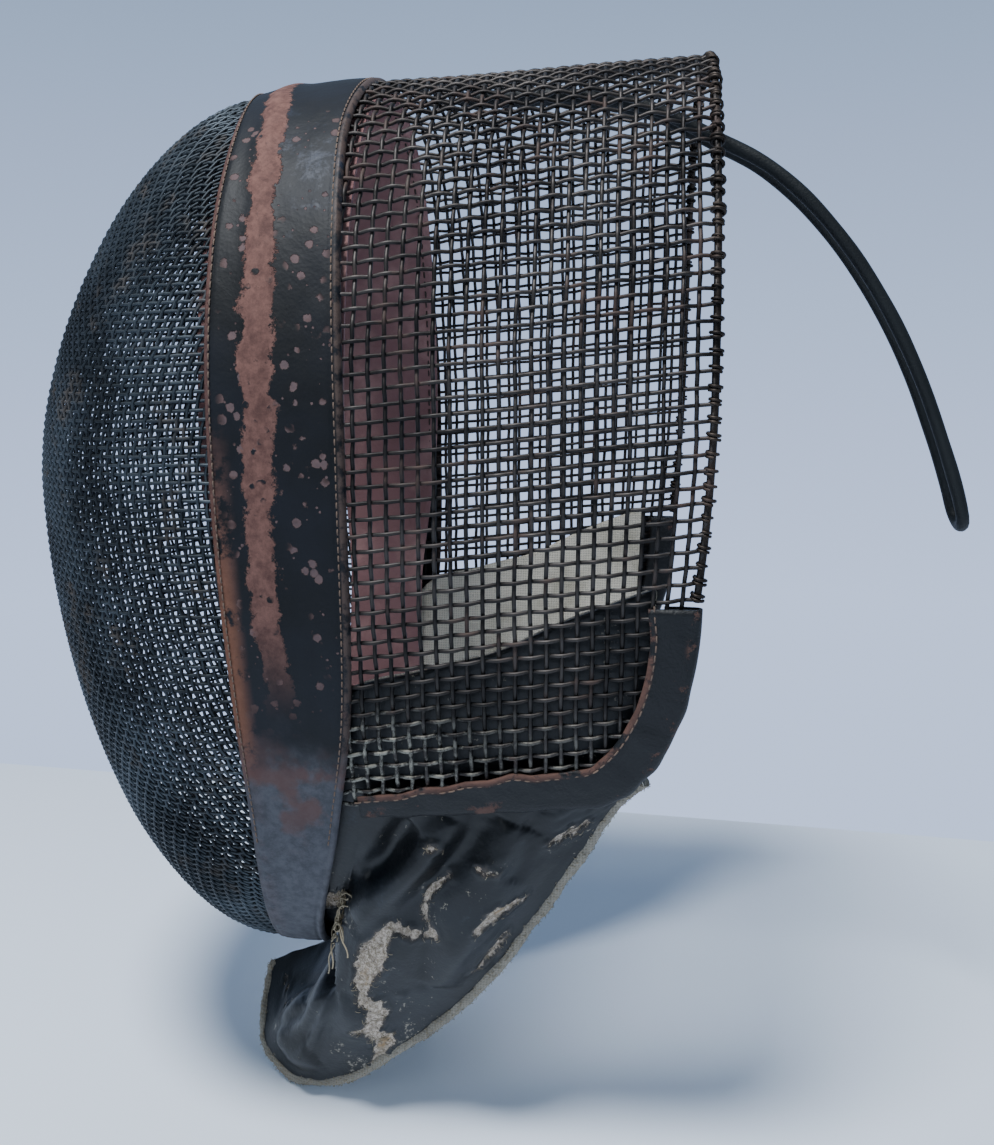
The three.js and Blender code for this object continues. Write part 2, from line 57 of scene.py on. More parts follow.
# ---- the mask's form in millimetres, as in the part's source ----
HALF_WIDTH = 97.0
WIDEST_Z = -113.0
CROWN_Z = 5.7
CHIN_Z = -300.0
UPPER_POWER, LOWER_POWER = 2.25, 2.3
BAND_REAR_Y, BAND_FRONT_Y = -50.0, -92.0
RIM_Y, RIM_SWEEP, RIM_SWEEP_Z = 54.8, 3.6, -91.0
SIDE_TAPER, CROWN_RISE, CROWN_DROP = 0.035, 0.064, 4.5
DOME_DEPTH, DOME_TIP_Z = 83.0, -125.0
BROW_POWER, JAW_POWER = 1.6, 1.92
CORNER_START_Y, CORNER_TOP_Z, CORNER_HEIGHT = 18.0, -155.0, 62.0
CORNER_END_Y = RIM_Y - 2.2
EDGE_SLOPE = 0.085

FACE_PITCH, FACE_WIRE_RADIUS = 2.68, 0.55
SIDE_PITCH, SIDE_WIRE_RADIUS = 4.65, 0.66


def crown_at(y):
    rise = CROWN_RISE * np.maximum(0, y - BAND_REAR_Y)
    forward = np.maximum(0, BAND_REAR_Y - y) / (BAND_REAR_Y - BAND_FRONT_Y)
    return CROWN_Z + rise - CROWN_DROP * forward ** 2


def half_width_at(y):
    return HALF_WIDTH - SIDE_TAPER * np.maximum(0, y - BAND_REAR_Y)


def shell(angle, y, out=0.0):
    """Points on the shell behind the dome: angle 0 is the crown, a quarter turn is the left side."""
    angle, y, out = np.broadcast_arrays(np.asarray(angle, float), y, out)
    sine, cosine = np.sin(angle), np.cos(angle)
    upper = cosine >= 0
    power = np.where(upper, 2 / UPPER_POWER, 2 / LOWER_POWER)
    reach = np.where(upper, crown_at(y) - WIDEST_Z + out, CHIN_Z - WIDEST_Z - out)
    x = np.sign(sine) * np.abs(sine) ** power * (half_width_at(y) + out)
    return np.stack([x, y, WIDEST_Z + reach * np.abs(cosine) ** power], axis=-1)


def angle_at_height(z, y=BAND_REAR_Y):
    """The shell's angle on the left side at height z."""
    upper = z >= WIDEST_Z
    reach = np.where(upper, crown_at(y) - WIDEST_Z, CHIN_Z - WIDEST_Z)
    share = np.clip((z - WIDEST_Z) / reach, 0, 1)
    turn = np.arccos(share ** (np.where(upper, UPPER_POWER, LOWER_POWER) / 2))
    return np.where(upper, turn, np.pi - turn)


def dome_half_width(z, out=0.0):
    upper = z >= WIDEST_Z
    power = np.where(upper, UPPER_POWER, LOWER_POWER)
    reach = np.where(upper, crown_at(BAND_FRONT_Y) - WIDEST_Z + out, CHIN_Z - WIDEST_Z - out)
    share = np.clip((z - WIDEST_Z) / reach, 0, 1)
    return (HALF_WIDTH + out) * (1 - share ** power) ** (1 / power)


def dome_depth(z, out=0.0):
    above = z > DOME_TIP_Z
    power = np.where(above, BROW_POWER, JAW_POWER)
    reach = np.where(above, crown_at(BAND_FRONT_Y) + out, CHIN_Z - out) - DOME_TIP_Z
    share = np.clip((z - DOME_TIP_Z) / reach, 0, 1)
    return (DOME_DEPTH + out) * (1 - share ** power) ** (1 / power)


def dome(z, sweep, out=0.0):
    """Points on the face dome at height z: sweep 0 is its left edge and a quarter turn its middle."""
    z, sweep = np.broadcast_arrays(np.asarray(z, float), sweep)
    x = dome_half_width(z, out) * np.cos(sweep)
    y = BAND_FRONT_Y - dome_depth(z, out) * np.sin(sweep)
    return np.stack([x, y, z], axis=-1)


def dome_outward(points):
    """Unit normals of the dome, from the slope of its level function."""
    def level(p):
        ahead = np.maximum(0, BAND_FRONT_Y - p[..., 1])
        wide = np.maximum(dome_half_width(p[..., 2]), 3.0)
        deep = np.maximum(dome_depth(p[..., 2]), 3.0)
        return (p[..., 0] / wide) ** 2 + (ahead / deep) ** 2
    step = 0.05 * np.eye(3)
    slope = np.stack([level(points + s) - level(points - s) for s in step], axis=-1)
    return slope / np.maximum(np.linalg.norm(slope, axis=-1, keepdims=True), 1e-9)


def dome_outline(angle, y, out):
    """The dome's cross-section at depth y, by the shell's angle."""
    ahead = (BAND_FRONT_Y - y) / (DOME_DEPTH + out)
    above = np.abs(angle) < np.pi / 2
    power = np.where(above, BROW_POWER, JAW_POWER)
    reach = np.where(above, crown_at(BAND_FRONT_Y) + out, CHIN_Z - out) - DOME_TIP_Z
    end = DOME_TIP_Z + reach * (1 - ahead ** power) ** (1 / power)
    base = shell(angle, BAND_FRONT_Y, out)[..., 2]
    z = WIDEST_Z + (base - WIDEST_Z) * (end - WIDEST_Z) / (DOME_TIP_Z + reach - WIDEST_Z)
    narrowing = np.sqrt(np.clip(1 - ((BAND_FRONT_Y - y) / np.maximum(dome_depth(z, out), 1e-6)) ** 2, 0, 1))
    x = np.sign(angle) * dome_half_width(z, out) * narrowing
    return np.stack([x, y + 0 * z, z], axis=-1)


def cover(angle, y, out):
    """The shell, carried on a little way over the dome."""
    angle, y, out = np.broadcast_arrays(np.asarray(angle, float), y, out)
    ahead = dome_outline(angle, np.minimum(y, BAND_FRONT_Y), out)
    behind = shell(angle, y, out)
    return np.where((y >= BAND_FRONT_Y)[..., None], behind, ahead)


def lower_edge_at(y):
    share = np.clip((y - CORNER_START_Y) / (CORNER_END_Y - CORNER_START_Y), 0, 1)
    rounded = CORNER_TOP_Z - CORNER_HEIGHT * np.sqrt(1 - share ** 2)
    return np.where(y <= CORNER_START_Y, rounded - EDGE_SLOPE * (CORNER_START_Y - y), rounded)


def swept_depth(z, y):
    below = np.clip((RIM_SWEEP_Z - z) / (RIM_SWEEP_Z - CORNER_TOP_Z), 0, 1)
    return y - RIM_SWEEP * below ** 2 * (np.maximum(0, y) / RIM_Y) ** 2


def smooth(keys, values, at):
    """A smooth curve through a table's values."""
    keys, values = np.asarray(keys, float), np.asarray(values, float)
    slopes = np.zeros(len(keys))
    slopes[1:-1] = (values[2:] - values[:-2]) / (keys[2:] - keys[:-2])
    i = np.clip(np.searchsorted(keys, at, side="right") - 1, 0, len(keys) - 2)
    span = keys[i + 1] - keys[i]
    s = (at - keys[i]) / span
    return ((2 * s ** 3 - 3 * s ** 2 + 1) * values[i] + (s ** 3 - 2 * s ** 2 + s) * span * slopes[i]
            + (3 * s ** 2 - 2 * s ** 3) * values[i + 1] + (s ** 3 - s ** 2) * span * slopes[i + 1])


def ease(value, low, high):
    """0 below low, 1 above high and smooth between."""
    share = np.clip((value - low) / (high - low), 0, 1)
    return share * share * (3 - 2 * share)


def unit(vectors):
    return vectors / np.maximum(np.linalg.norm(vectors, axis=-1, keepdims=True), 1e-9)


def soft_noise(seed, rows, columns, spread):
    """A smooth random field from -1 to 1 on a grid, with a feature every spread cells."""
    rng = np.random.default_rng(seed)
    coarse = rng.uniform(-1, 1, (int(rows / spread) + 4, int(columns / spread) + 4))

    def stretch(field, count):
        at = np.arange(count) / spread + 1
        i = at.astype(int)
        s = (at - i)[:, None]
        s = s * s * (3 - 2 * s)
        return field[i] * (1 - s) + field[i + 1] * s
    return stretch(stretch(coarse, rows).T, columns).T


# ---- meshes ----

def make_mesh(name, points, faces, attributes=None, edges=()):
    """An object from points in millimetres; attributes hold one value or vector for each point."""
    mesh = bpy.data.meshes.new(name)
    mesh.from_pydata((np.asarray(points, float).reshape(-1, 3) * MM).tolist(), list(edges), faces)
    for key, values in (attributes or {}).items():
        values = np.asarray(values, float)
        vector = values.ndim > 1 and values.shape[-1] == 3
        layer = mesh.attributes.new(key, "FLOAT_VECTOR" if vector else "FLOAT", "POINT")
        layer.data.foreach_set("vector" if vector else "value", values.reshape(-1))
    piece = bpy.data.objects.new(name, mesh)
    bpy.context.scene.collection.objects.link(piece)
    return piece


def grid_faces(rows, columns, start=0, endless_rows=False, endless_columns=False, flip=False):
    down = np.arange(rows if endless_rows else rows - 1)
    along = np.arange(columns if endless_columns else columns - 1)
    i, j = np.meshgrid(down, along, indexing="ij")
    below, beside = (i + 1) % rows, (j + 1) % columns
    corners = [i * columns + j, i * columns + beside, below * columns + beside, below * columns + j]
    if flip:
        corners.reverse()
    return (np.stack(corners, axis=-1).reshape(-1, 4) + start).tolist()


def per_point(values, rows, columns):
    values = np.asarray(values, float)
    if values.ndim == 3:
        return values.reshape(-1, 3)
    return np.broadcast_to(values, (rows, columns)).reshape(-1)


def wall(name, outer, inner, material, endless_rows=False, attributes=None):
    """A closed wall between two grids of points, one for each of its faces."""
    rows, columns = outer.shape[:2]
    size = rows * columns
    faces = grid_faces(rows, columns, 0, endless_rows)
    faces += grid_faces(rows, columns, size, endless_rows, flip=True)
    last = rows if endless_rows else rows - 1
    for i in range(last):
        below = (i + 1) % rows
        for j, first in ((0, True), (columns - 1, False)):
            a, b = i * columns + j, below * columns + j
            quad = [a, b, b + size, a + size]
            faces.append(quad if first else quad[::-1])
    if not endless_rows:
        for j in range(columns - 1):
            a, b = j, j + 1
            faces.append([b, a, a + size, b + size])
            a, b = (rows - 1) * columns + j, (rows - 1) * columns + j + 1
            faces.append([a, b, b + size, a + size])
    points = np.concatenate([outer.reshape(-1, 3), inner.reshape(-1, 3)])
    if attributes:
        attributes = {key: np.concatenate([per_point(values, rows, columns)] * 2)
                      for key, values in attributes.items()}
        if "fray" in attributes:
            attributes["fray"][size:] = 0
    piece = make_mesh(name, points, faces, attributes)
    return finish_mesh(piece, material)


def finish_mesh(piece, material):
    """Smooth shading, outward faces and a material."""
    mesh = piece.data
    a = np.zeros(len(mesh.vertices) * 3)
    mesh.vertices.foreach_get("co", a)
    a = a.reshape(-1, 3)
    mesh.calc_loop_triangles()
    t = np.zeros(len(mesh.loop_triangles) * 3, int)
    mesh.loop_triangles.foreach_get("vertices", t)
    p = a[t.reshape(-1, 3)]
    if np.einsum("ij,ij->i", p[:, 0], np.cross(p[:, 1], p[:, 2])).sum() < 0:
        mesh.flip_normals()
    mesh.shade_smooth()
    mesh.materials.clear()
    mesh.materials.append(material)
    return piece


def tube(name, centre, across, up, material, sides):
    """A closed tube: across and up are the section's half axes at each point of the centre line."""
    turn = np.linspace(0, 2 * np.pi, sides, endpoint=False)
    rings = centre[:, None] + across[:, None] * np.cos(turn)[:, None] + up[:, None] * np.sin(turn)[:, None]
    count = len(centre)
    points = rings.reshape(-1, 3)
    faces = grid_faces(count, sides, 0, False, True)
    faces.append(list(range(sides))[::-1])
    faces.append(list(range((count - 1) * sides, count * sides)))
    return finish_mesh(make_mesh(name, points, faces), material)


def along_path(points):
    return unit(np.gradient(points, axis=0))


# ---- geometry trees ----

class Tree:
    """A geometry node tree under construction, with named inputs for its sizes."""

    KINDS = {float: "NodeSocketFloat", int: "NodeSocketInt", bpy.types.Material: "NodeSocketMaterial"}

    def __init__(self, name, sizes):
        self.group = bpy.data.node_groups.new(name, "GeometryNodeTree")
        face = self.group.interface
        face.new_socket("Geometry", in_out="INPUT", socket_type="NodeSocketGeometry")
        self.sockets = {}
        for key, kind in sizes.items():
            self.sockets[key] = face.new_socket(key, in_out="INPUT", socket_type=self.KINDS[kind])
        face.new_socket("Geometry", in_out="OUTPUT", socket_type="NodeSocketGeometry")
        self.start = self.group.nodes.new("NodeGroupInput")
        self.end = self.group.nodes.new("NodeGroupOutput")

    def size(self, key):
        return self.start.outputs[key]

    def node(self, kind, settings=None, inputs=None):
        made = self.group.nodes.new(kind)
        for key, value in (settings or {}).items():
            setattr(made, key, value)
        for key, value in (inputs or {}).items():
            socket = made.inputs[key]
            if isinstance(value, bpy.types.NodeSocket):
                self.group.links.new(value, socket)
            else:
                socket.default_value = value
        return next(o for o in made.outputs if o.enabled)

    def attribute(self, name, kind="FLOAT_VECTOR"):
        return self.node("GeometryNodeInputNamedAttribute", {"data_type": kind}, {"Name": name})

    def finish(self, geometry):
        smooth_faces = self.node("GeometryNodeSetShadeSmooth", inputs={"Geometry": geometry})
        real = self.node("GeometryNodeRealizeInstances", inputs={"Geometry": smooth_faces})
        coated = self.node("GeometryNodeSetMaterial",
                           inputs={"Geometry": real, "Material": self.size("Material")})
        self.group.links.new(coated, self.end.inputs[0])

    def grow(self, piece, name, keep=False, **sizes):
        """Runs the tree on a piece's mesh and returns the result as a plain mesh object."""
        modifier = piece.modifiers.new("grow", "NODES")
        modifier.node_group = self.group
        for key, socket in self.sockets.items():
            modifier[socket.identifier] = sizes[key.lower().replace(" ", "_")]
        depsgraph = bpy.context.evaluated_depsgraph_get()
        mesh = bpy.data.meshes.new_from_object(piece.evaluated_get(depsgraph))
        if keep:
            piece.modifiers.remove(modifier)
        else:
            bpy.data.objects.remove(piece)
        mesh.name = name
        grown = bpy.data.objects.new(name, mesh)
        bpy.context.scene.collection.objects.link(grown)
        material = sizes["material"]
        return finish_mesh(grown, material)


def wire_tree():
    """Wires along a mesh's edges: each point is lifted along its outward vector by the crimp."""
    tree = Tree("wires", {"Wire radius": float, "Crimp": float, "Sides": int,
                          "Material": bpy.types.Material})
    lift = tree.node("ShaderNodeMath", {"operation": "MULTIPLY"},
                     {0: tree.attribute("over", "FLOAT"), 1: tree.size("Crimp")})
    offset = tree.node("ShaderNodeVectorMath", {"operation": "SCALE"},
                       {0: tree.attribute("outward"), "Scale": lift})
    lifted = tree.node("GeometryNodeSetPosition",
                       inputs={"Geometry": tree.start.outputs[0], "Offset": offset})
    paths = tree.node("GeometryNodeMeshToCurve", inputs={"Mesh": lifted})
    section = tree.node("GeometryNodeCurvePrimitiveCircle",
                        inputs={"Resolution": tree.size("Sides"), "Radius": tree.size("Wire radius")})
    wires = tree.node("GeometryNodeCurveToMesh",
                      inputs={"Curve": paths, "Profile Curve": section, "Fill Caps": True})
    tree.finish(wires)
    return tree


def stitch_tree():
    """Short thread dashes laid along paths, on the side that the outward vector names."""
    tree = Tree("stitches", {"Spacing": float, "Stitch length": float, "Thread radius": float,
                             "Material": bpy.types.Material})
    paths = tree.node("GeometryNodeMeshToCurve", inputs={"Mesh": tree.start.outputs[0]})
    places = tree.node("GeometryNodeResampleCurve", {"mode": "LENGTH"},
                       {"Curve": paths, "Length": tree.size("Spacing")})
    turn = tree.node("FunctionNodeAxesToRotation", {"primary_axis": "X", "secondary_axis": "Z"},
                     {0: tree.node("GeometryNodeInputTangent"), 1: tree.attribute("outward")})
    half = tree.node("ShaderNodeMath", {"operation": "MULTIPLY"}, {0: tree.size("Stitch length"), 1: 0.5})
    back = tree.node("ShaderNodeMath", {"operation": "MULTIPLY"}, {0: half, 1: -1.0})
    sunk = tree.node("ShaderNodeMath", {"operation": "MULTIPLY"}, {0: tree.size("Thread radius"), 1: -1.2})
    raised = tree.node("ShaderNodeMath", {"operation": "MULTIPLY"}, {0: tree.size("Thread radius"), 1: 0.9})
    ends = [tree.node("ShaderNodeCombineXYZ", inputs={"X": x, "Z": sunk}) for x in (back, half)]
    top = tree.node("ShaderNodeCombineXYZ", inputs={"Z": raised})
    arc = tree.node("GeometryNodeCurveQuadraticBezier",
                    inputs={"Resolution": 4, "Start": ends[0], "Middle": top, "End": ends[1]})
    section = tree.node("GeometryNodeCurvePrimitiveCircle",
                        inputs={"Resolution": 5, "Radius": tree.size("Thread radius")})
    thread = tree.node("GeometryNodeCurveToMesh",
                       inputs={"Curve": arc, "Profile Curve": section, "Fill Caps": True})
    laid = tree.node("GeometryNodeInstanceOnPoints",
                     inputs={"Points": places, "Instance": thread, "Rotation": turn})
    tree.finish(laid)
    return tree


def wrap_tree():
    """Wire ends wound round a rod: a short coil at each point, turned to the rod's direction."""
    tree = Tree("wraps", {"Wire radius": float, "Coil radius": float, "Turns": float, "Coil length": float,
                          "Seed": int, "Material": bpy.types.Material})
    coil = tree.node("GeometryNodeCurveSpiral",
                     inputs={"Resolution": 12, "Rotations": tree.size("Turns"),
                             "Start Radius": tree.size("Coil radius"), "End Radius": tree.size("Coil radius"),
                             "Height": tree.size("Coil length")})
    section = tree.node("GeometryNodeCurvePrimitiveCircle",
                        inputs={"Resolution": 6, "Radius": tree.size("Wire radius")})
    wound = tree.node("GeometryNodeCurveToMesh",
                      inputs={"Curve": coil, "Profile Curve": section, "Fill Caps": True})
    turn = tree.node("FunctionNodeAxesToRotation", {"primary_axis": "Z", "secondary_axis": "X"},
                     {0: tree.attribute("along"), 1: tree.attribute("outward")})
    points = tree.node("GeometryNodeMeshToPoints", inputs={"Mesh": tree.start.outputs[0]})
    size = tree.node("FunctionNodeRandomValue", {"data_type": "FLOAT"},
                     {"Min": 0.85, "Max": 1.15, "Seed": tree.size("Seed")})
    wraps = tree.node("GeometryNodeInstanceOnPoints",
                      inputs={"Points": points, "Instance": wound, "Rotation": turn, "Scale": size})
    tree.finish(wraps)
    return tree


def fibre_tree():
    """Short bent fibres standing out of a surface, more of them where its fray value is higher."""
    tree = Tree("fibres", {"Density": float, "Length": float, "Fibre radius": float, "Bend": float,
                           "Seed": int, "Material": bpy.types.Material})
    amount = tree.node("ShaderNodeMath", {"operation": "MULTIPLY"},
                       {0: tree.attribute("fray", "FLOAT"), 1: tree.size("Density")})
    spots = tree.node("GeometryNodeDistributePointsOnFaces", {"distribute_method": "RANDOM"},
                      {"Mesh": tree.start.outputs[0], "Density": amount, "Seed": tree.size("Seed")})
    half = tree.node("ShaderNodeMath", {"operation": "MULTIPLY"}, {0: tree.size("Length"), 1: 0.5})
    middle = tree.node("ShaderNodeCombineXYZ", inputs={"X": half, "Z": half})
    end = tree.node("ShaderNodeCombineXYZ", inputs={"X": tree.size("Length"), "Z": tree.size("Bend")})
    arc = tree.node("GeometryNodeCurveQuadraticBezier",
                    inputs={"Resolution": 4, "Start": (0, 0, 0), "Middle": middle, "End": end})
    section = tree.node("GeometryNodeCurvePrimitiveCircle",
                        inputs={"Resolution": 3, "Radius": tree.size("Fibre radius")})
    fibre = tree.node("GeometryNodeCurveToMesh",
                      inputs={"Curve": arc, "Profile Curve": section, "Fill Caps": True})
    facing = tree.node("FunctionNodeAlignRotationToVector", {"axis": "Z"},
                       {"Vector": tree.attribute("outward")})
    turn = tree.node("FunctionNodeRandomValue", {"data_type": "FLOAT_VECTOR"},
                     {"Min": (-0.5, -0.5, -3.1), "Max": (0.5, 0.5, 3.1), "Seed": tree.size("Seed")})
    spun = tree.node("FunctionNodeRotateRotation", {"rotation_space": "LOCAL"},
                     {"Rotation": facing, "Rotate By": turn})
    size = tree.node("FunctionNodeRandomValue", {"data_type": "FLOAT"}, {"Min": 0.4, "Max": 1.3, "Seed": 9})
    laid = tree.node("GeometryNodeInstanceOnPoints",
                     inputs={"Points": spots, "Instance": fibre, "Rotation": spun, "Scale": size})
    tree.finish(laid)
    return tree


WIRES, STITCHES, WRAPS, FIBRES = wire_tree(), stitch_tree(), wrap_tree(), fibre_tree()


# ---- finishes ----

class Shade:
    """One output of a finish's nodes; arithmetic on it adds Math nodes."""

    def __init__(self, finish, socket):
        self.finish, self.socket = finish, socket

    def math(self, operation, *values):
        return self.finish.node("Math", {"operation": operation}, dict(enumerate(values)))

    def __add__(self, other):
        return self.math("ADD", self, other)

    def __sub__(self, other):
        return self.math("SUBTRACT", self, other)

    def __rsub__(self, other):
        return self.math("SUBTRACT", other, self)

    def __mul__(self, other):
        return self.math("MULTIPLY", self, other)

    def __abs__(self):
        return self.math("ABSOLUTE", self)

    __radd__, __rmul__ = __add__, __mul__

    def above(self, low, high):
        """0 where this is below low, 1 where it is above high."""
        return self.finish.node("MapRange", {"interpolation_type": "SMOOTHSTEP"},
                                {"Value": self, "From Min": low, "From Max": high})

    def below(self, low, high):
        return 1 - self.above(low, high)

    def most(self, other):
        return self.math("MAXIMUM", self, other)


def srgb(red, green, blue):
    """A colour given as 0 to 255 on a screen, in linear light."""
    return tuple(((v / 255 + 0.055) / 1.055) ** 2.4 if v > 10 else v / 255 / 12.92
                 for v in (red, green, blue)) + (1.0,)


class Finish:
    """A material under construction."""

    def __init__(self, name):
        self.material = bpy.data.materials.new(name)
        self.material.use_nodes = True
        self.tree = self.material.node_tree
        self.tree.nodes.clear()
        self.place = self.node("TexCoord", output="Object")

    def node(self, kind, settings=None, inputs=None, output=0):
        made = self.tree.nodes.new("ShaderNode" + kind)
        for key, value in (settings or {}).items():
            setattr(made, key, value)
        for key, value in (inputs or {}).items():
            self.put(made.inputs[key], value)
        return Shade(self, made.outputs[output])

    def put(self, socket, value):
        if isinstance(value, Shade):
            self.tree.links.new(value.socket, socket)
        else:
            socket.default_value = value

    def noise(self, size, detail, roughness=0.55, distortion=0.0, shift=0.0):
        """Cloudy noise from 0 to 1 with features of about size millimetres."""
        place = self.place
        if shift:
            place = self.node("Mapping", inputs={"Vector": place, "Location": (shift, shift, shift)})
        return self.node("TexNoise", inputs={"Vector": place, "Scale": 1000 / size, "Detail": detail,
                                             "Roughness": roughness, "Distortion": distortion})

    def cells(self, size):
        """Distance from the middle of the nearest cell, for cells of about size millimetres."""
        return self.node("TexVoronoi", {"feature": "F1"},
                         {"Vector": self.place, "Scale": 1000 / size, "Randomness": 1.0})

    def attribute(self, name):
        return self.node("Attribute", {"attribute_name": name}, output=2)

    def mix(self, mask, base, top):
        """Colours: base where the mask is 0 and top where it is 1."""
        return self.node("Mix", {"data_type": "RGBA"}, {0: mask, 6: base, 7: top}, output=2)

    def bump(self, height, millimetres):
        return self.node("Bump", inputs={"Height": height, "Distance": millimetres * MM, "Strength": 1.0})

    def coat(self, color, roughness, normal=None, metallic=0.0, fixed=None):
        """The surface itself; fixed holds the shader's other values by socket name."""
        inputs = {"Base Color": color, "Roughness": roughness, "Metallic": metallic, **(fixed or {})}
        if normal:
            inputs["Normal"] = normal
        surface = self.node("BsdfPrincipled", inputs=inputs)
        end = self.tree.nodes.new("ShaderNodeOutputMaterial")
        self.tree.links.new(surface.socket, end.inputs["Surface"])
        return self.material


def wire_finish(name, dark, light, rust, corrosion=False):
    """Old varnished steel wire: dark crevices, bare highlights and a little rust."""
    finish = Finish(name)
    cloud = finish.noise(28, 4)
    grain = finish.noise(1.6, 2, 0.6)
    color = finish.mix(cloud.above(0.35, 0.7) * 0.6 + grain * 0.4, srgb(*dark), srgb(*light))
    rusty = finish.noise(17, 5, 0.65, shift=3.1).above(0.53, 0.68) * 0.75
    color = finish.mix(rusty, color, srgb(*rust))
    rough = 0.42 + grain * 0.2 + rusty * 0.25
    if corrosion:
        height = finish.node("SeparateXYZ", inputs={0: finish.place}, output=2)
        depth = finish.node("SeparateXYZ", inputs={0: finish.place}, output=1)
        patch = height.below(-0.205, -0.182) * (depth.below(-0.035, -0.01) * 0.6 + 0.3)
        crust = finish.noise(4, 5, 0.75).above(0.46, 0.6) * patch
        color = finish.mix(crust, color, srgb(158, 156, 146))
        rough = rough + crust * 0.3
    return finish.coat(color, rough, finish.bump(grain, 0.08), 1 - rusty * 0.8 - 0.15,
                       {"Specular IOR Level": 0.5})


def worn_leather(name, dark, worn, wear_mask=None, gloss=0.38, pebble=1.1, crease=0.25):
    """Black harness leather: fine grain, creases, and a worn colour that a mask brings out."""
    finish = Finish(name)
    grain = finish.cells(pebble)
    crackle = finish.noise(9, 6, 0.7, 0.8)
    cloud = finish.noise(40, 3)
    color = finish.mix(cloud.above(0.3, 0.75) * 0.5, srgb(*dark), srgb(*[v + 14 for v in dark]))
    wear = wear_mask(finish) if wear_mask else None
    rough = gloss + cloud * 0.2
    if wear is not None:
        shade = finish.noise(6, 5, 0.65)
        rub = finish.mix(shade, srgb(*[v * 0.72 for v in worn]), srgb(*[min(255, v * 1.2) for v in worn]))
        color = finish.mix(wear, color, rub)
        rough = rough + wear * 0.28
    height = grain * 0.25 + crackle * crease * 4
    if wear is not None:
        height = height - wear * 0.5
    return finish.coat(color, rough, finish.bump(height, 0.35), 0.0, {"Specular IOR Level": 0.3})


def band_wear(finish):
    """The rubbed crest of the band, its lower front edge, and spots of lost dye."""
    around, crest = finish.attribute("around"), finish.attribute("from_crest")
    front = finish.attribute("from_front")
    wobble = (finish.noise(9, 7, 0.8) - 0.5) * 13 + (finish.noise(45, 2, 0.5, shift=4.2) - 0.5) * 9
    strip = abs(crest + wobble).below(3.9, 4.7) * around.below(100, 112) * around.above(5, 13)
    ragged = (finish.noise(2.6, 5, 0.7, shift=9.4) - 0.5) * 0.5
    rubbed_through = finish.noise(13, 4, 0.6, shift=1.9).above(0.42, 0.5)
    strip = strip * (finish.cells(4.4) + ragged).above(0.2, 0.26).most(rubbed_through)
    shown = finish.noise(21, 3, 0.6, shift=7.7).above(0.44, 0.52)
    spots = (finish.cells(5.2) + ragged).below(0.22, 0.28) * shown
    flecks = (finish.cells(2.9) + ragged).below(0.1, 0.16)
    flecks = flecks * finish.noise(12, 3, 0.6, shift=5.1).above(0.46, 0.54)
    reach = abs(crest - 6).below(14, 18) * around.above(26, 42) * around.below(106, 114)
    low_edge = front.below(2.5, 8) * around.above(84, 98) * finish.noise(10, 5, 0.7).above(0.4, 0.52)
    edge = (front + (finish.noise(5, 6, 0.8) - 0.5) * 4).below(1.0, 1.7) * around.above(20, 34)
    return strip, spots.most(flecks) * reach, low_edge.most(edge * 0.7)


def band_leather_finish():
    finish = Finish("band leather")
    around, front = finish.attribute("around"), finish.attribute("from_front")
    rear = finish.attribute("from_rear")
    strip, spots, edges = band_wear(finish)
    wear = strip.most(spots).most(edges)
    cloud, fine = finish.noise(34, 4), finish.noise(4, 7, 0.75)
    black = finish.mix(cloud.above(0.3, 0.7), srgb(5, 7, 11), srgb(14, 18, 26))
    # Rubbed, glossier patches on the upper sides near the rear edge, with a painted bluish sheen mixed into
    # their colour.
    scuff_and_sheen = finish.noise(24, 7, 0.8, shift=6.3).above(0.52, 0.66)
    scuff_and_sheen = scuff_and_sheen * around.below(56, 74) * around.above(20, 40) * rear.below(20, 26)
    black = finish.mix(scuff_and_sheen * 0.4, black, srgb(58, 66, 84))
    worn = finish.mix(fine.above(0.3, 0.7), srgb(74, 50, 46), srgb(112, 80, 72))
    orange = around.above(88, 102) * front.below(3, 10)
    worn = finish.mix(orange * 0.7, worn, srgb(108, 72, 54))
    worn = finish.mix(spots * (1 - strip) * 0.6, worn, srgb(84, 76, 80))
    color = finish.mix(wear, black, worn)
    seam = rear.below(1.6, 2.4) * finish.noise(5, 5, 0.7).above(0.36, 0.55)
    color = finish.mix(seam * 0.8, color, srgb(76, 62, 56))
    bare = (around + (finish.noise(20, 5, 0.6) - 0.5) * 14).above(112, 121)
    grey = finish.mix(fine.above(0.35, 0.65), srgb(62, 64, 70), srgb(82, 83, 89))
    red_patch = finish.noise(22, 4, shift=2.2).above(0.5, 0.6) * around.below(122, 132)
    grey = finish.mix(red_patch * 0.7, grey, srgb(92, 62, 56))
    color = finish.mix(bare * 0.9, color, grey)
    rough = 0.5 + cloud * 0.16 + wear * 0.24 + bare * 0.1 - scuff_and_sheen * 0.12
    height = finish.cells(1.2) * 0.12 + finish.noise(12, 5, 0.6, 0.4) * 1.2 - wear * 0.5
    return finish.coat(color, rough, finish.bump(height, 0.3), 0.0, {"Specular IOR Level": 0.24})


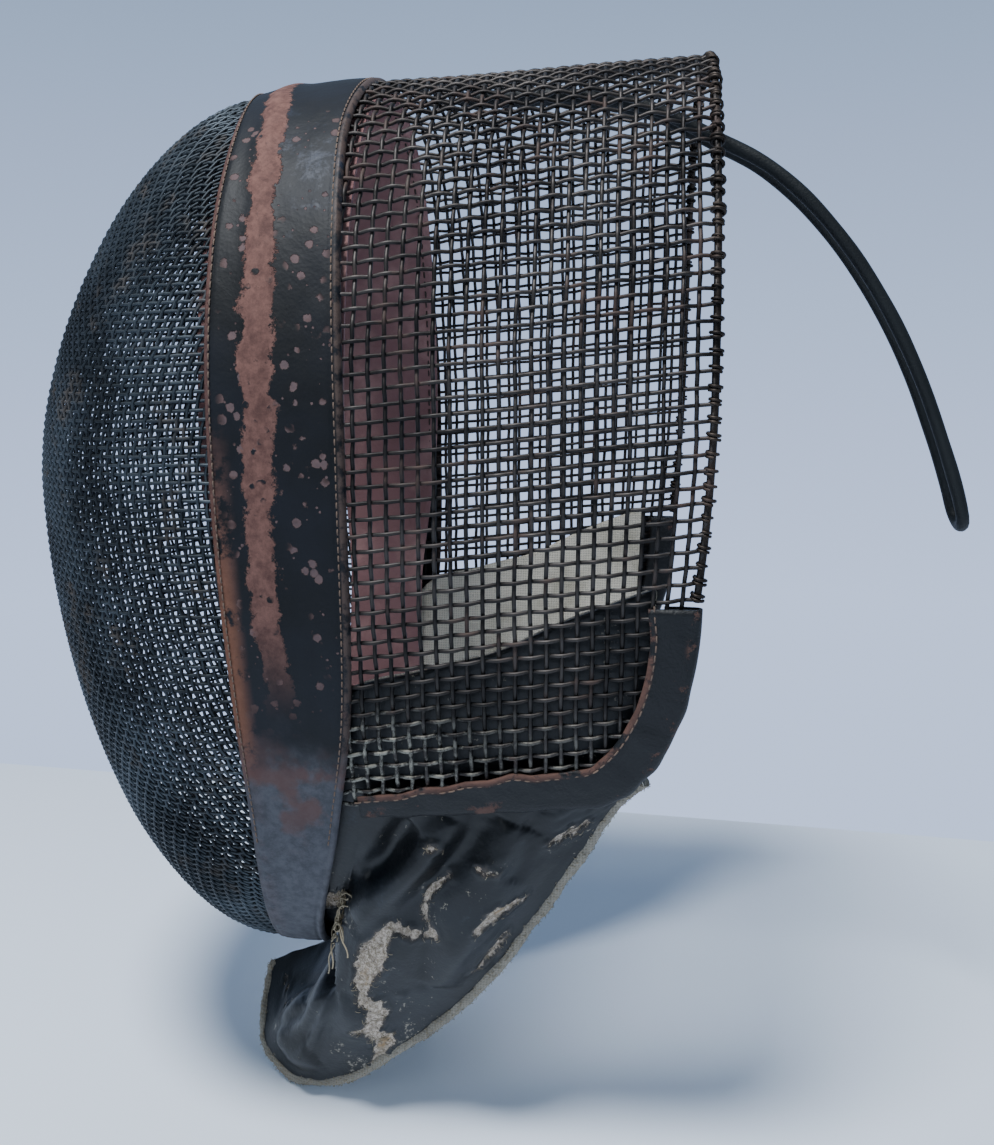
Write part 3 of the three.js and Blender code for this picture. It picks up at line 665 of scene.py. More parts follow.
def bib_leather_finish():
    """Glossy black leather, torn to its pale fibrous backing."""
    finish = Finish("bib leather")
    tear = finish.attribute("tear") + (finish.noise(2.4, 7, 0.8) - 0.5) * 5.0 - 0.6
    open_tear = tear.above(-0.15, 0.25)
    rim = tear.above(-1.4, -0.2) * (1 - open_tear)
    cloud, fine = finish.noise(36, 4), finish.noise(8, 6, 0.65)
    black = finish.mix(cloud.above(0.3, 0.75), srgb(7, 9, 12), srgb(19, 24, 30))
    dust = finish.noise(16, 7, 0.8, 0.6, shift=2.7).above(0.58, 0.72)
    black = finish.mix(dust * 0.35, black, srgb(58, 66, 76))
    nick = (finish.noise(1.7, 4, 0.7, shift=8.1) * finish.noise(17, 3, 0.6, shift=3.3)).above(0.36, 0.4)
    black = finish.mix(nick * 0.8, black, srgb(140, 132, 118))
    grain = finish.noise(1.1, 6, 0.8)
    pale = finish.mix(grain.above(0.34, 0.62), srgb(132, 118, 106), srgb(212, 198, 182))
    core = tear.above(1.6, 3.4) * finish.noise(8, 4, shift=5.2).above(0.5, 0.62)
    pale = finish.mix(core * 0.7, pale, srgb(150, 116, 66))
    # Dark flecks among the torn fibres: painted shade between the fibres.
    pale = finish.mix(finish.noise(3.4, 5, 0.7, shift=1.1).above(0.6, 0.68) * 0.7, pale, srgb(50, 44, 40))
    color = finish.mix(open_tear, finish.mix(rim * 0.6, black, srgb(62, 54, 48)), pale)
    rough = 0.33 + cloud * 0.14 + dust * 0.12 + open_tear * 0.5
    height = fine * 0.9 + finish.cells(1.3) * 0.08 + grain * open_tear * 0.6
    return finish.coat(color, rough, finish.bump(height, 0.35), 0.0, {"Specular IOR Level": 0.34})


def binding_wear(finish):
    fold = finish.attribute("from_fold")
    top = finish.attribute("from_top")
    rubbed = finish.noise(13, 6, 0.8).above(0.55, 0.63)
    ragged_top = top + (finish.noise(4, 6, 0.8) - 0.5) * 3
    line = ragged_top.below(1.2, 2.6) * finish.noise(11, 5, 0.7).above(0.4, 0.5)
    patches = finish.noise(19, 6, 0.8, shift=3.9).above(0.66, 0.7) * 0.8
    return line.most(fold.below(0.5, 3) * rubbed).most(patches)


def canvas_finish(name, base, stain):
    """Unbleached canvas with its weave, soiled in clouds, and painted shade in the holes between its threads.
    """
    finish = Finish(name)
    soil = finish.noise(30, 5, 0.65)
    threads = {"Vector": finish.place, "Scale": 300.0, "Distortion": 1.2}
    weft = finish.node("TexWave", {"bands_direction": "Z"}, threads)
    warp = finish.node("TexWave", {"bands_direction": "Y"}, threads)
    cloth = (weft + warp) * 0.5
    color = finish.mix(soil.above(0.42, 0.7), srgb(*base), srgb(*stain))
    # Darker where both thread bands are low, where the bump sinks: painted shade between the threads.
    color = finish.mix(cloth.below(0.1, 0.5) * 0.35, color, srgb(*[v * 0.6 for v in stain]))
    height = cloth * 0.6 + finish.noise(6, 4) * 0.7
    return finish.coat(color, 0.9, finish.bump(height, 0.35), 0.0, {"Specular IOR Level": 0.3})


def plain_finish(name, low, high, size, roughness, bump=0.1):
    finish = Finish(name)
    cloud = finish.noise(size, 5, 0.6)
    color = finish.mix(cloud, srgb(*low), srgb(*high))
    return finish.coat(color, roughness + 0.2 * cloud, finish.bump(cloud, bump))


FACE_WIRE = wire_finish("face wire", (22, 25, 28), (78, 86, 93), (58, 50, 44))
SIDE_WIRE = wire_finish("side wire", (20, 19, 20), (76, 72, 70), (66, 46, 38), corrosion=True)
RIM_STEEL = wire_finish("rim wire", (20, 18, 18), (70, 62, 56), (62, 44, 36))
BAND_LEATHER = band_leather_finish()
INNER_LEATHER = worn_leather("inner leather", (136, 98, 98), (172, 132, 128),
                             lambda f: f.noise(26, 5).above(0.45, 0.7), gloss=0.6)
BINDING_LEATHER = worn_leather("binding leather", (6, 8, 12), (84, 60, 52), binding_wear,
                               gloss=0.4, crease=0.5)
BIB_LEATHER = bib_leather_finish()
LINING = canvas_finish("lining canvas", (216, 208, 192), (176, 168, 150))
EDGING = canvas_finish("edging canvas", (142, 136, 124), (98, 93, 84))
SPRING_COVER = worn_leather("spring cover", (10, 15, 18), (80, 84, 80), gloss=0.5, pebble=0.8)
THREAD = plain_finish("dark thread", (30, 26, 24), (70, 58, 50), 6, 0.7)
PALE_THREAD = plain_finish("pale thread", (124, 112, 90), (176, 164, 140), 6, 0.85)
SEAM_THREAD = plain_finish("seam thread", (70, 56, 48), (120, 100, 86), 9, 0.75)


# ---- wire cloth ----

def wire_paths(name, nets, overs, outwards):
    """One mesh of loose edges with a polyline for each row of each net; gaps hold no number."""
    points, edges, over, outward = [], [], [], []
    count = 0
    for net, sign, normal in zip(nets, overs, outwards):
        for row, lift, away in zip(net, sign, normal):
            good = np.isfinite(row[:, 0])
            runs = np.flatnonzero(np.diff(np.concatenate([[0], good.astype(int), [0]])))
            for start, end in runs.reshape(-1, 2):
                if end - start < 2:
                    continue
                points.append(row[start:end])
                over.append(lift[start:end])
                outward.append(away[start:end])
                at = np.arange(count, count + end - start - 1)
                edges.append(np.stack([at, at + 1], axis=1))
                count += end - start
    return make_mesh(name, np.concatenate(points), [],
                     {"over": np.concatenate(over), "outward": np.concatenate(outward)},
                     np.concatenate(edges).tolist())


def crossings(shape):
    i, j = np.indices(shape)
    return np.where((i + j) % 2 == 0, 1.0, -1.0)


def face_net():
    """Where the dome's wires cross: rows of near-level wires, columns of uprights from right to left."""
    def row_heights(end):
        z = np.linspace(DOME_TIP_Z, end, 900)
        line = dome(z, np.pi / 2)
        climb = np.abs(np.diff(z)) / np.linalg.norm(np.diff(line, axis=0), axis=1)
        rows = np.abs(np.diff(z)) / (FACE_PITCH * (0.35 + 0.65 * climb))
        count = np.concatenate([[0], np.cumsum(rows)])
        return np.interp(np.arange(1, count[-1]), count, z)
    lower, upper = row_heights(CHIN_Z + 0.05), row_heights(crown_at(BAND_FRONT_Y) - 0.05)
    middle = np.concatenate([lower[::-1], [DOME_TIP_Z], upper])
    side = np.clip(middle + 3.0 * ease(middle, -250, -150), CHIN_Z + 0.4, crown_at(BAND_FRONT_Y) - 0.4)
    share = np.linspace(0, 1, 120)
    reach = int(190 / FACE_PITCH)
    net = np.full((len(middle), 2 * reach + 1, 3), np.nan)
    for r, (z_middle, z_side) in enumerate(zip(middle, side)):
        z = z_middle + (z_side - z_middle) * share ** 1.7
        line = dome(z, (1 - share) * np.pi / 2)
        tail = np.stack([np.full(5, line[-1, 0]), BAND_FRONT_Y + np.arange(1, 6) * 2.0,
                         np.full(5, line[-1, 2])], axis=1)
        line = np.concatenate([line, tail])
        run = np.concatenate([[0], np.cumsum(np.linalg.norm(np.diff(line, axis=0), axis=1))])
        at = np.arange(0, run[-1], FACE_PITCH)[:reach + 1]
        row = np.stack([np.interp(at, run, line[:, k]) for k in range(3)], axis=1)
        angle = np.degrees(angle_at_height(row[:, 2], BAND_FRONT_Y))
        row[row[:, 1] > band_edge(angle, "front") + 5] = np.nan
        net[r, reach:reach + len(row)] = row
        net[r, reach - len(row) + 1:reach + 1] = (row * [-1, 1, 1])[::-1]
    wave = soft_noise(5, net.shape[0], net.shape[1], 7)
    net[..., 2] += 0.35 * wave
    net[..., 1] += 0.2 * soft_noise(6, net.shape[0], net.shape[1], 6)
    return net


def face_wires():
    net = face_net()
    outward = dome_outward(np.nan_to_num(net))
    over = crossings(net.shape[:2])
    level = wire_paths("level", [net], [over], [outward])
    upright = wire_paths("upright", [net.transpose(1, 0, 2)], [-over.T], [outward.transpose(1, 0, 2)])
    sizes = dict(wire_radius=FACE_WIRE_RADIUS * MM, sides=5, material=FACE_WIRE)
    pieces = [WIRES.grow(level, "face_level_wires", crimp=0.3 * MM, **sizes),
              WIRES.grow(upright, "face_upright_wires", crimp=0.46 * MM, **sizes)]
    return [placed(piece, "face_wire", "front_mesh") for piece in pieces]


def side_section(y, girth):
    """Points of the shell's section at depth y, at given distances round from the crown."""
    angles = np.linspace(0, np.pi * 0.97, 500)
    line = shell(angles, y)
    run = np.concatenate([[0], np.cumsum(np.linalg.norm(np.diff(line, axis=0), axis=1))])
    side = np.sign(girth)
    size = np.abs(girth)
    x, z = np.interp(size, run, line[:, 0]), np.interp(size, run, line[:, 2])
    return np.stack([side * x, swept_depth(z, y) + 0 * x, z], axis=-1), np.interp(size, run, angles) * side


def shell_outward(angle, y):
    step = 1e-3
    around = shell(angle + step, y) - shell(angle - step, y)
    back = shell(angle, y + 0.1) - shell(angle, y - 0.1)
    return unit(np.cross(back, around)) * 1.0


def side_net():
    """Where the side mesh's wires cross: rows are arches from front to rear, columns run over the head."""
    arches = np.arange(RIM_Y - 0.4, -74, -SIDE_PITCH)[::-1]
    reach = int(285 / SIDE_PITCH)
    girths = np.arange(-reach, reach + 1) * SIDE_PITCH
    drift = 0.078 * ease(np.abs(girths), 5, 95) * np.sign(girths)
    net, angles = [], []
    for y in arches:
        points, angle = side_section(y, girths - drift * (y - BAND_REAR_Y))
        hidden = points[:, 2] < lower_edge_at(y) - 0.3
        points[hidden] = np.nan
        net.append(points)
        angles.append(angle)
    net, angles = np.array(net), np.array(angles)
    wave = soft_noise(11, *net.shape[:2], 5)
    net[..., 2] += 0.4 * wave
    net[:-1, :, 1] += 0.35 * soft_noise(12, net.shape[0] - 1, net.shape[1], 4)
    return net, shell_outward(angles, arches[:, None])


def refine(net, outward, over, crest=0.3):
    """Adds two points beside each crossing, so that a wire bends over the one it crosses."""
    def spread(values, keep):
        before = values[:, 1:] * (1 - crest) + values[:, :-1] * crest
        after = values[:, :-1] * (1 - crest) + values[:, 1:] * crest
        rows, columns = values.shape[:2]
        out = np.full((rows, 3 * columns - 2) + values.shape[2:], np.nan)
        out[:, ::3] = values
        out[:, 1::3] = after if keep is None else values[:, :-1] * keep
        out[:, 2::3] = before if keep is None else values[:, 1:] * keep
        return out
    return spread(net, None), spread(outward, None), spread(over, 0.62)


def side_wires():
    net, outward = side_net()
    over = crossings(net.shape[:2])
    sizes = dict(wire_radius=SIDE_WIRE_RADIUS * MM, crimp=0.58 * MM, sides=6, material=SIDE_WIRE)
    pieces = []
    for name, (points, away, lift) in {
        "side_arch_wires": refine(net, outward, over),
        "side_level_wires": refine(net.transpose(1, 0, 2), outward.transpose(1, 0, 2), -over.T),
    }.items():
        paths = wire_paths(name, [points], [lift], [away])
        pieces.append(WIRES.grow(paths, name, **sizes))
    return [placed(piece, "side_wire", "side_mesh") for piece in pieces]


def rim_line(count=240):
    end = angle_at_height(CORNER_TOP_Z) - 0.01
    angle = np.linspace(-end, end, count)
    z = shell(angle, RIM_Y)[:, 2]
    line = shell(angle, RIM_Y, -0.4)
    line[:, 1] = swept_depth(z, RIM_Y)
    return line, shell_outward(angle, RIM_Y)


def rim():
    line, outward = rim_line()
    along = along_path(line)
    wobble = soft_noise(21, 1, len(line), 6)[0][:, None]
    line = line + outward * wobble * 0.25
    rod = tube("rim_rod", line, unit(np.cross(along, outward)) * 1.15, outward * 1.15, RIM_STEEL, 10)
    run = np.concatenate([[0], np.cumsum(np.linalg.norm(np.diff(line, axis=0), axis=1))])
    at = np.arange(1.5, run[-1] - 1.5, SIDE_PITCH)
    rng = np.random.default_rng(3)
    at = at + rng.uniform(-0.5, 0.5, len(at))
    spots = np.stack([np.interp(at, run, line[:, k]) for k in range(3)], axis=1)
    way = unit(np.stack([np.interp(at, run, along[:, k]) for k in range(3)], axis=1))
    away = unit(np.stack([np.interp(at, run, outward[:, k]) for k in range(3)], axis=1)
                + rng.normal(0, 0.5, (len(at), 3)))
    seeds = make_mesh("seeds", spots, [], {"along": way, "outward": away})
    wraps = WRAPS.grow(seeds, "rim_wraps", wire_radius=0.5 * MM, coil_radius=1.7 * MM, turns=1.6,
                       coil_length=1.9 * MM, seed=4, material=RIM_STEEL)
    return placed(rod, "side_wire", "rim_wire"), placed(wraps, "side_wire", "rim_wire")


# ---- the band and the strip inside ----

BAND_EDGES = {
    "angle": [0, 20, 38, 62, 90, 110, 125, 150, 180],
    "front": [-95, -92, -90.5, -91, -90.5, -88, -87, -90, -93],
    "crest": [-81, -80, -78.5, -76.5, -75.5, -74, -74, -81, -84],
    "rear": [-52, -53, -54, -52, -50, -51, -58, -71, -75],
}


def band_edge(degrees, edge):
    return smooth(BAND_EDGES["angle"], BAND_EDGES[edge], np.abs(degrees))


def band():
    """The leather band: a raised crest, a turned welt at the rear edge and a thin front edge."""
    around = np.linspace(-180, 180, 321)[:-1]
    share = np.linspace(0, 1, 45)
    front, crest, rear = (band_edge(around, e)[:, None] for e in ("front", "crest", "rear"))
    y = front + (rear - front) * share
    angle = np.radians(around)[:, None] + 0 * y
    fade = 1 - ease(np.abs(around), 95, 130)[:, None]
    ridge = 1.1 * fade * np.exp(-((y - crest) / 4.2) ** 2)
    welt = 0.4 * (ease(y, rear - 2.2, rear - 1.6) - ease(y, rear - 0.7, rear))
    groove = -0.3 * np.exp(-((y - (rear - 2.7)) / 0.5) ** 2) - 0.3 * np.exp(-((y - front - 1.6) / 0.5) ** 2)
    rounding = -1.1 * (np.exp(-(y - front) / 0.7) + np.exp(-(rear - y) / 0.7))
    waves = 0.35 * soft_noise(31, *y.shape, 14) + 0.12 * soft_noise(32, *y.shape, 4)
    edges = ease(share, 0, 0.1) * ease(1 - share, 0, 0.1)
    out = 2.0 + ridge + welt + groove + rounding + waves * edges
    outer = cover(angle, y, out)
    inner = cover(angle, y, 0.45 + 0 * y)
    places = {"around": np.abs(np.degrees(angle)), "from_crest": y - crest, "from_front": y - front,
              "from_rear": rear - y}
    piece = wall("leather_band", outer, inner, BAND_LEATHER, endless_rows=True, attributes=places)
    return placed(piece, "band_leather", "band")


def band_stitches():
    around = np.radians(np.linspace(-128, 128, 400))
    degrees = np.degrees(around)
    rows = []
    for edge, inset in (("rear", -2.6), ("front", 1.6)):
        y = band_edge(degrees, edge) + inset
        points = cover(around, y, 2.15)
        rows.append(points)
    points = np.concatenate(rows)
    outward = unit(points * [1, 0, 1] - [0, 0, WIDEST_Z])
    count = len(around)
    edges = [[i, i + 1] for i in range(2 * count - 1) if i != count - 1]
    path = make_mesh("path", points, [], {"outward": outward}, edges)
    thread = STITCHES.grow(path, "band_stitches", spacing=2.6 * MM, stitch_length=1.7 * MM,
                           thread_radius=0.26 * MM, material=SEAM_THREAD)
    return placed(thread, "band_leather")


def inner_band():
    around = np.linspace(-180, 180, 241)[:-1]
    share = np.linspace(0, 1, 17)
    low = ease(np.abs(around), 88, 112)[:, None]
    front, rear = -94 + 6 * low, -51 - 6 * low
    y = front + (rear - front) * share[None]
    out = -(2.4 + 7.4 * low) + 0.4 * soft_noise(41, *y.shape, 6)
    angle = np.radians(around)[:, None] + 0 * y
    places = {"from_rear": rear - y}
    piece = wall("inner_strip", cover(angle, y, out), cover(angle, y, out - 1.6), INNER_LEATHER,
                 endless_rows=True, attributes=places)
    line = np.radians(np.linspace(-100, 100, 200))
    seam = shell(line, -54.5, -4.2)
    path = make_mesh("path", seam, [], {"outward": unit([0, 0, WIDEST_Z] - seam * [1, 0, 1])},
                     [[i, i + 1] for i in range(len(seam) - 1)])
    thread = STITCHES.grow(path, "inner_stitches", spacing=4.2 * MM, stitch_length=2.6 * MM,
                           thread_radius=0.35 * MM, material=THREAD)
    placed(thread, "inner_leather")
    return placed(piece, "inner_leather", "inner_band")


# ---- binding along the side walls' lower edges ----

BINDING_FRONT_Y = BAND_REAR_Y - 1.0


def binding_path():
    level = np.linspace(BINDING_FRONT_Y, CORNER_START_Y, 60)
    turn = np.linspace(0, np.pi / 2, 50)[1:]
    y = np.concatenate([level, CORNER_START_Y + (CORNER_END_Y - CORNER_START_Y) * np.sin(turn)])
    z = np.concatenate([lower_edge_at(level), CORNER_TOP_Z - CORNER_HEIGHT * np.cos(turn)])
    return y, z


def wall_point(y, z, out, side):
    point = shell(angle_at_height(z), swept_depth(z, y), out)
    point[..., 0] *= side
    point[..., 2] = z
    return point


def binding(side):
    """A leather strip folded over the wall's edge; its outer leaf is wider towards the rear."""
    y, z = binding_path()
    run = np.concatenate([[0], np.cumsum(np.hypot(np.diff(y), np.diff(z)))])
    share = run / run[-1]
    inward = unit(np.stack([-np.gradient(z), np.gradient(y)], axis=1))
    width = np.interp(share, [0, 0.3, 0.7, 1], [3.5, 8.5, 11.5, 12.5])
    width = width + 0.9 * soft_noise(51 + side, 1, len(y), 6)[0]
    fold, thick, gap = -2.2, 1.3, 0.6
    turn = np.linspace(0, np.pi, 9)
    half = (1.8 + 2 * gap) / 2
    rows_up, rows_out = [], []
    for up in np.linspace(1, 0, 9):
        rows_up.append(up * (width - fold) + fold)
        rows_out.append(np.full(len(y), gap))
    for t in turn[1:-1]:
        rows_up.append(np.full(len(y), fold) - half * np.sin(t))
        rows_out.append(np.full(len(y), gap - half + half * np.cos(t)))
    for up in np.linspace(0, 1, 9):
        rows_up.append(up * (width * 0.6 - fold) + fold)
        rows_out.append(np.full(len(y), gap - 2 * half))
    up, out = np.array(rows_up).T, np.array(rows_out).T
    swell = 0.5 * soft_noise(61 + side, *up.shape, 4)
    direction = np.concatenate([np.full(9, 1.0), np.cos(turn[1:-1]), np.full(9, -1.0)])
    downwards = np.concatenate([np.zeros(9), np.sin(turn[1:-1]), np.zeros(9)])

    def leaf(distance):
        u = up - downwards * distance
        o = out + direction * distance
        return wall_point(y[:, None] + u * inward[:, :1], z[:, None] + u * inward[:, 1:], o, side)
    outer = leaf(thick + swell)
    inner = leaf(np.zeros_like(up))
    places = {"from_fold": np.abs(up - fold), "from_top": width[:, None] - up}
    name = "binding_left" if side == LEFT else "binding_right"
    piece = wall("edge_" + name, outer, inner, BINDING_LEATHER, attributes=places)
    seam = (width - 2.0)[:, None] * inward
    line = wall_point(y + seam[:, 0], z + seam[:, 1], thick + gap + 0.15, side)
    outward = unit(line * [1, 0, 0]) + [0, 0, -0.2]
    path = make_mesh("path", line, [], {"outward": unit(outward)}, [[i, i + 1] for i in range(len(y) - 1)])
    thread = STITCHES.grow(path, "stitches_" + name, spacing=3.0 * MM, stitch_length=2.0 * MM,
                           thread_radius=0.28 * MM, material=SEAM_THREAD)
    return placed(piece, "binding_leather", name), placed(thread, "binding_leather")


# ---- the bib ----

BIB_COLUMNS = ("top_angle", "top_y", "exit_angle", "exit_y", "x", "y", "z", "out_x", "out_y")
BIB = dict(zip(BIB_COLUMNS, np.array([
    (180, -86, 180, -67, 0, -106, -323, 0, 10),
    (166, -86, 166, -67, 20, -105, -344, 6, 4),
    (153, -84, 153, -65, 33, -89, -353, 8, -3),
    (139, -79, 141, -60, 42, -66, -345, 8, -4),
    (124, -71, 130, -53, 50, -36, -320, 7, 0),
    (111, -57, 123.3, -41, 57, -13, -294, 6, 2),
    (107.5, -30, 122.4, -20, 62, 5, -267, 4, 1),
    (105.5, -8, 121.8, -2, 67, 19, -243, 2, 0),
    (102.2, 14, 121, 17, 72, 29, -225, 1, 0),
    (99.2, 40, 118.5, 36, 77, 38, -214, 0, 0),
], float).T))
BIB_TOP_INSET = 4.3


def bib_sheet(across, down):
    """The bib's outer face: across from right to left rear end, down from top (-1) to free edge (1)."""
    across, down = np.broadcast_arrays(across, down)
    side = np.where(across < 0, -1.0, 1.0)
    row = np.abs(across) * 9
    value = {key: smooth(np.arange(10), BIB[key], row) for key in BIB_COLUMNS}
    up = np.clip(-down, 0, 1)
    angle = np.radians(value["exit_angle"] + (value["top_angle"] - value["exit_angle"]) * up)
    y = value["exit_y"] + (value["top_y"] - value["exit_y"]) * up
    top = shell(angle, y, -BIB_TOP_INSET)
    hang = np.clip(down, 0, None)[..., None]
    free = np.stack([value["x"], value["y"], value["z"]], axis=-1)
    swell = (4 * hang * (1 - hang)) ** 2 * (hang < 1)
    bow = np.stack([value["out_x"], value["out_y"], 0 * value["x"]], axis=-1)
    points = top + (free - top) * hang + bow * swell
    points[..., 0] *= side
    return points


def sheet_outward(sheet, across, down):
    aside, below = 0.03, 0.04
    sideways = sheet(across + aside, down) - sheet(across - aside, down)
    downwards = sheet(across, down + below) - sheet(across, down - below)
    return unit(np.cross(downwards, sideways))


# Folds of the leather: height (out is positive), half width, and places along it as (across, down).
BIB_FOLDS = [
    (-9, 8, [(0.20, 0.12), (0.27, 0.3), (0.33, 0.42)]),
    (5, 9, [(0.13, 0.5), (0.17, 0.72), (0.27, 0.8)]),
    (-5, 6, [(0.70, 0.15), (0.62, 0.34), (0.547, 0.41), (0.46, 0.44)]),
    (4.5, 6, [(0.63, 0.16), (0.55, 0.29), (0.433, 0.26), (0.38, 0.21)]),
    (-4.5, 5, [(0.56, 0.12), (0.48, 0.17), (0.42, 0.12)]),
    (5, 9, [(0.73, 0.37), (0.655, 0.52), (0.56, 0.70), (0.485, 0.82)]),
    (-3, 5, [(0.80, 0.25), (0.72, 0.5), (0.66, 0.62)]),
    (-2.5, 4, [(0.52, 0.5), (0.47, 0.75)]),
    (3, 9, [(0.38, 0.6), (0.36, 0.8)]),
    (-1.6, 2.2, [(0.345, 0.5), (0.27, 0.8)]),
    (-1.4, 2.0, [(0.316, 0.45), (0.208, 0.78)]),
    (-1.2, 2.0, [(0.20, 0.42), (0.133, 0.82)]),
    (1.4, 2.4, [(0.33, 0.47), (0.24, 0.78)]),
    (1.2, 2.2, [(0.26, 0.45), (0.17, 0.80)]),
    (-2.0, 3.0, [(0.12, 0.2), (0.06, 0.8)]),
    (-3, 8, [(-0.25, 0.1), (-0.33, 0.45), (-0.36, 0.7)]),
    (3.5, 10, [(-0.44, 0.2), (-0.5, 0.7)]),
    (-2.5, 8, [(-0.6, 0.2), (-0.63, 0.8)]),
    (2.5, 9, [(-0.74, 0.3), (-0.78, 0.8)]),
]
# Tears: half width in millimetres at each place along it.
BIB_TEARS = [
    [(0.455, 0.42, 2), (0.415, 0.47, 5), (0.394, 0.53, 4), (0.385, 0.62, 2), (0.397, 0.70, 4.5),
     (0.385, 0.78, 3), (0.391, 0.88, 4.5), (0.375, 0.99, 1.5)],
    [(0.455, 0.43, 1), (0.508, 0.585, 1.6), (0.515, 0.458, 1.5), (0.575, 0.43, 0.4)],
    [(0.583, 0.70, 2), (0.615, 0.70, 3.6), (0.661, 0.80, 0.4)],
    [(0.756, 0.64, 1.6), (0.80, 0.73, 2.2), (0.83, 0.77, 0.6)],
    [(0.545, 0.905, 0.6), (0.575, 0.89, 2.2), (0.61, 0.87, 0.7)],
    [(0.575, 0.25, 0.8), (0.592, 0.265, 1.3)],
    [(0.63, 0.46, 0.8), (0.645, 0.48, 2.0)],
    [(0.36, 0.74, 1.2), (0.375, 0.75, 1.8)],
    [(0.05, 0.86, 0.5), (0.066, 0.82, 1.2)],
    [(0.07, 0.80, 0.4), (0.095, 0.77, 1.2)],
    [(0.433, 0.73, 1.3), (0.436, 0.74, 1.0)],
    [(0.28, -0.28, 5), (0.30, 0.05, 5), (0.325, 0.16, 2.5)],
    [(-0.4, 0.55, 2), (-0.41, 0.8, 3.5), (-0.39, 0.97, 1.0)],
    [(-0.66, 0.72, 1), (-0.7, 0.75, 2.4)],
]


def bib_line(places, steps=40):
    """Points of the bare sheet along a few places on it."""
    places = np.array(places, float)
    at = np.linspace(0, len(places) - 1, steps * (len(places) - 1) + 1)
    values = [smooth(np.arange(len(places)), places[:, k], at) if len(places) > 2
              else np.interp(at, [0, 1], places[:, k]) for k in range(places.shape[1])]
    return bib_sheet(values[0], values[1]), np.stack(values, axis=-1)


def away_from(points, line):
    """Distance from each point to the nearest of a line's points, and which one it is."""
    best, which = np.full(points.shape[:-1], np.inf), np.zeros(points.shape[:-1], int)
    for i, spot in enumerate(line):
        gap = np.linalg.norm(points - spot, axis=-1)
        which = np.where(gap < best, i, which)
        best = np.minimum(best, gap)
    return best, which


def bib_folds(across, down):
    """How far the leather stands out or in at its folds."""
    across, down = np.broadcast_arrays(across, down)
    points, lift = bib_sheet(across, down), np.zeros(across.shape)
    for height, half, places in BIB_FOLDS:
        line, _ = bib_line(places)
        gap, which = away_from(points, line)
        ends = np.sin(np.pi * np.clip((which + 1.5) / (len(line) + 2), 0, 1)) ** 0.6
        lift += height * ends * np.exp(-(gap / half) ** 2)
    return lift * ease(down, -0.05, 0.12) * ease(1 - down, 0, 0.16)


def bib_tears(points, seed):
    """How deep inside a tear each point lies, in millimetres; below nothing outside."""
    depth = np.full(points.shape[:-1], -6.0)
    for tear in BIB_TEARS:
        line, places = bib_line(tear)
        gap, which = away_from(points, line)
        depth = np.maximum(depth, places[which, 2] - gap)
    return depth + 1.5 * soft_noise(seed, *depth.shape, 2.2) + 0.8 * soft_noise(seed + 1, *depth.shape, 5)


def bib():
    across = np.linspace(-0.999, 0.999, 361)[:, None]
    down = np.concatenate([np.linspace(-1, 0, 46)[:-1], np.linspace(0, 0.985, 88)])[None]
    outward = sheet_outward(bib_sheet, across, down)
    smooth_face = bib_sheet(across, down)
    tear = bib_tears(smooth_face, 75)
    creases = 0.7 * soft_noise(71, *tear.shape, 12) + 0.25 * soft_noise(72, *tear.shape, 5)
    torn = 0.7 * np.exp(-((tear + 0.4) / 0.9) ** 2) - 0.7 * ease(tear, 0, 1.2)
    lift = bib_folds(across, down) + creases * ease(down, -0.1, 0.2) * ease(1 - down, 0, 0.2)
    face = smooth_face + outward * lift[..., None]
    places = {"tear": tear, "fray": ease(tear, 0.0, 1.0), "outward": outward}
    leather = wall("bib_skin", face + outward * torn[..., None], face - outward * 1.6, BIB_LEATHER,
                   attributes=places)
    canvas = wall("bib_backing", face - outward * 2.0, face - outward * 3.1, LINING)
    fluff = FIBRES.grow(leather, "bib_fluff", keep=True, density=1.4e6, length=1.5 * MM,
                        fibre_radius=0.07 * MM, bend=0.3 * MM, seed=2, material=PALE_THREAD)
    edge = bib_hem()
    fluff = placed(fluff, "bib_leather")
    placed(leather, "bib_leather", "bib_leather")
    loose_threads()
    placed(canvas, "canvas", "bib_lining")
    return leather, canvas


def loose_threads():
    """Pale threads that curl out of the torn corner under the band."""
    rng = np.random.default_rng(12)
    points, outward = [], []
    for _ in range(26):
        across, down = 0.315 + rng.normal(0, 0.02), 0.12 + rng.normal(0, 0.07)
        away = sheet_outward(bib_sheet, across, down)
        sideways = unit(np.cross(away, [0, 0, 1]))
        upwards = np.cross(sideways, away)
        heading, curl = rng.uniform(0, 2 * np.pi), rng.normal(0, 0.3)
        spot = bib_sheet(across, down) + away * (1.2 + bib_folds(across, down))
        for step in range(16):
            points.append(spot)
            outward.append(away)
            heading += curl + rng.normal(0, 0.12)
            lift = 0.3 * math.cos(step / 3)
            spot = spot + 0.8 * (sideways * math.cos(heading) + upwards * math.sin(heading)) + away * lift
    count = len(points)
    edges = [(i, i + 1) for i in range(count - 1) if (i + 1) % 16]
    places = {"over": np.zeros(count), "outward": np.array(outward)}
    path = make_mesh("path", np.array(points), [], places, edges)
    threads = WIRES.grow(path, "bib_threads", wire_radius=0.26 * MM, crimp=0.0, sides=5,
                         material=PALE_THREAD)
    return placed(threads, "bib_leather")


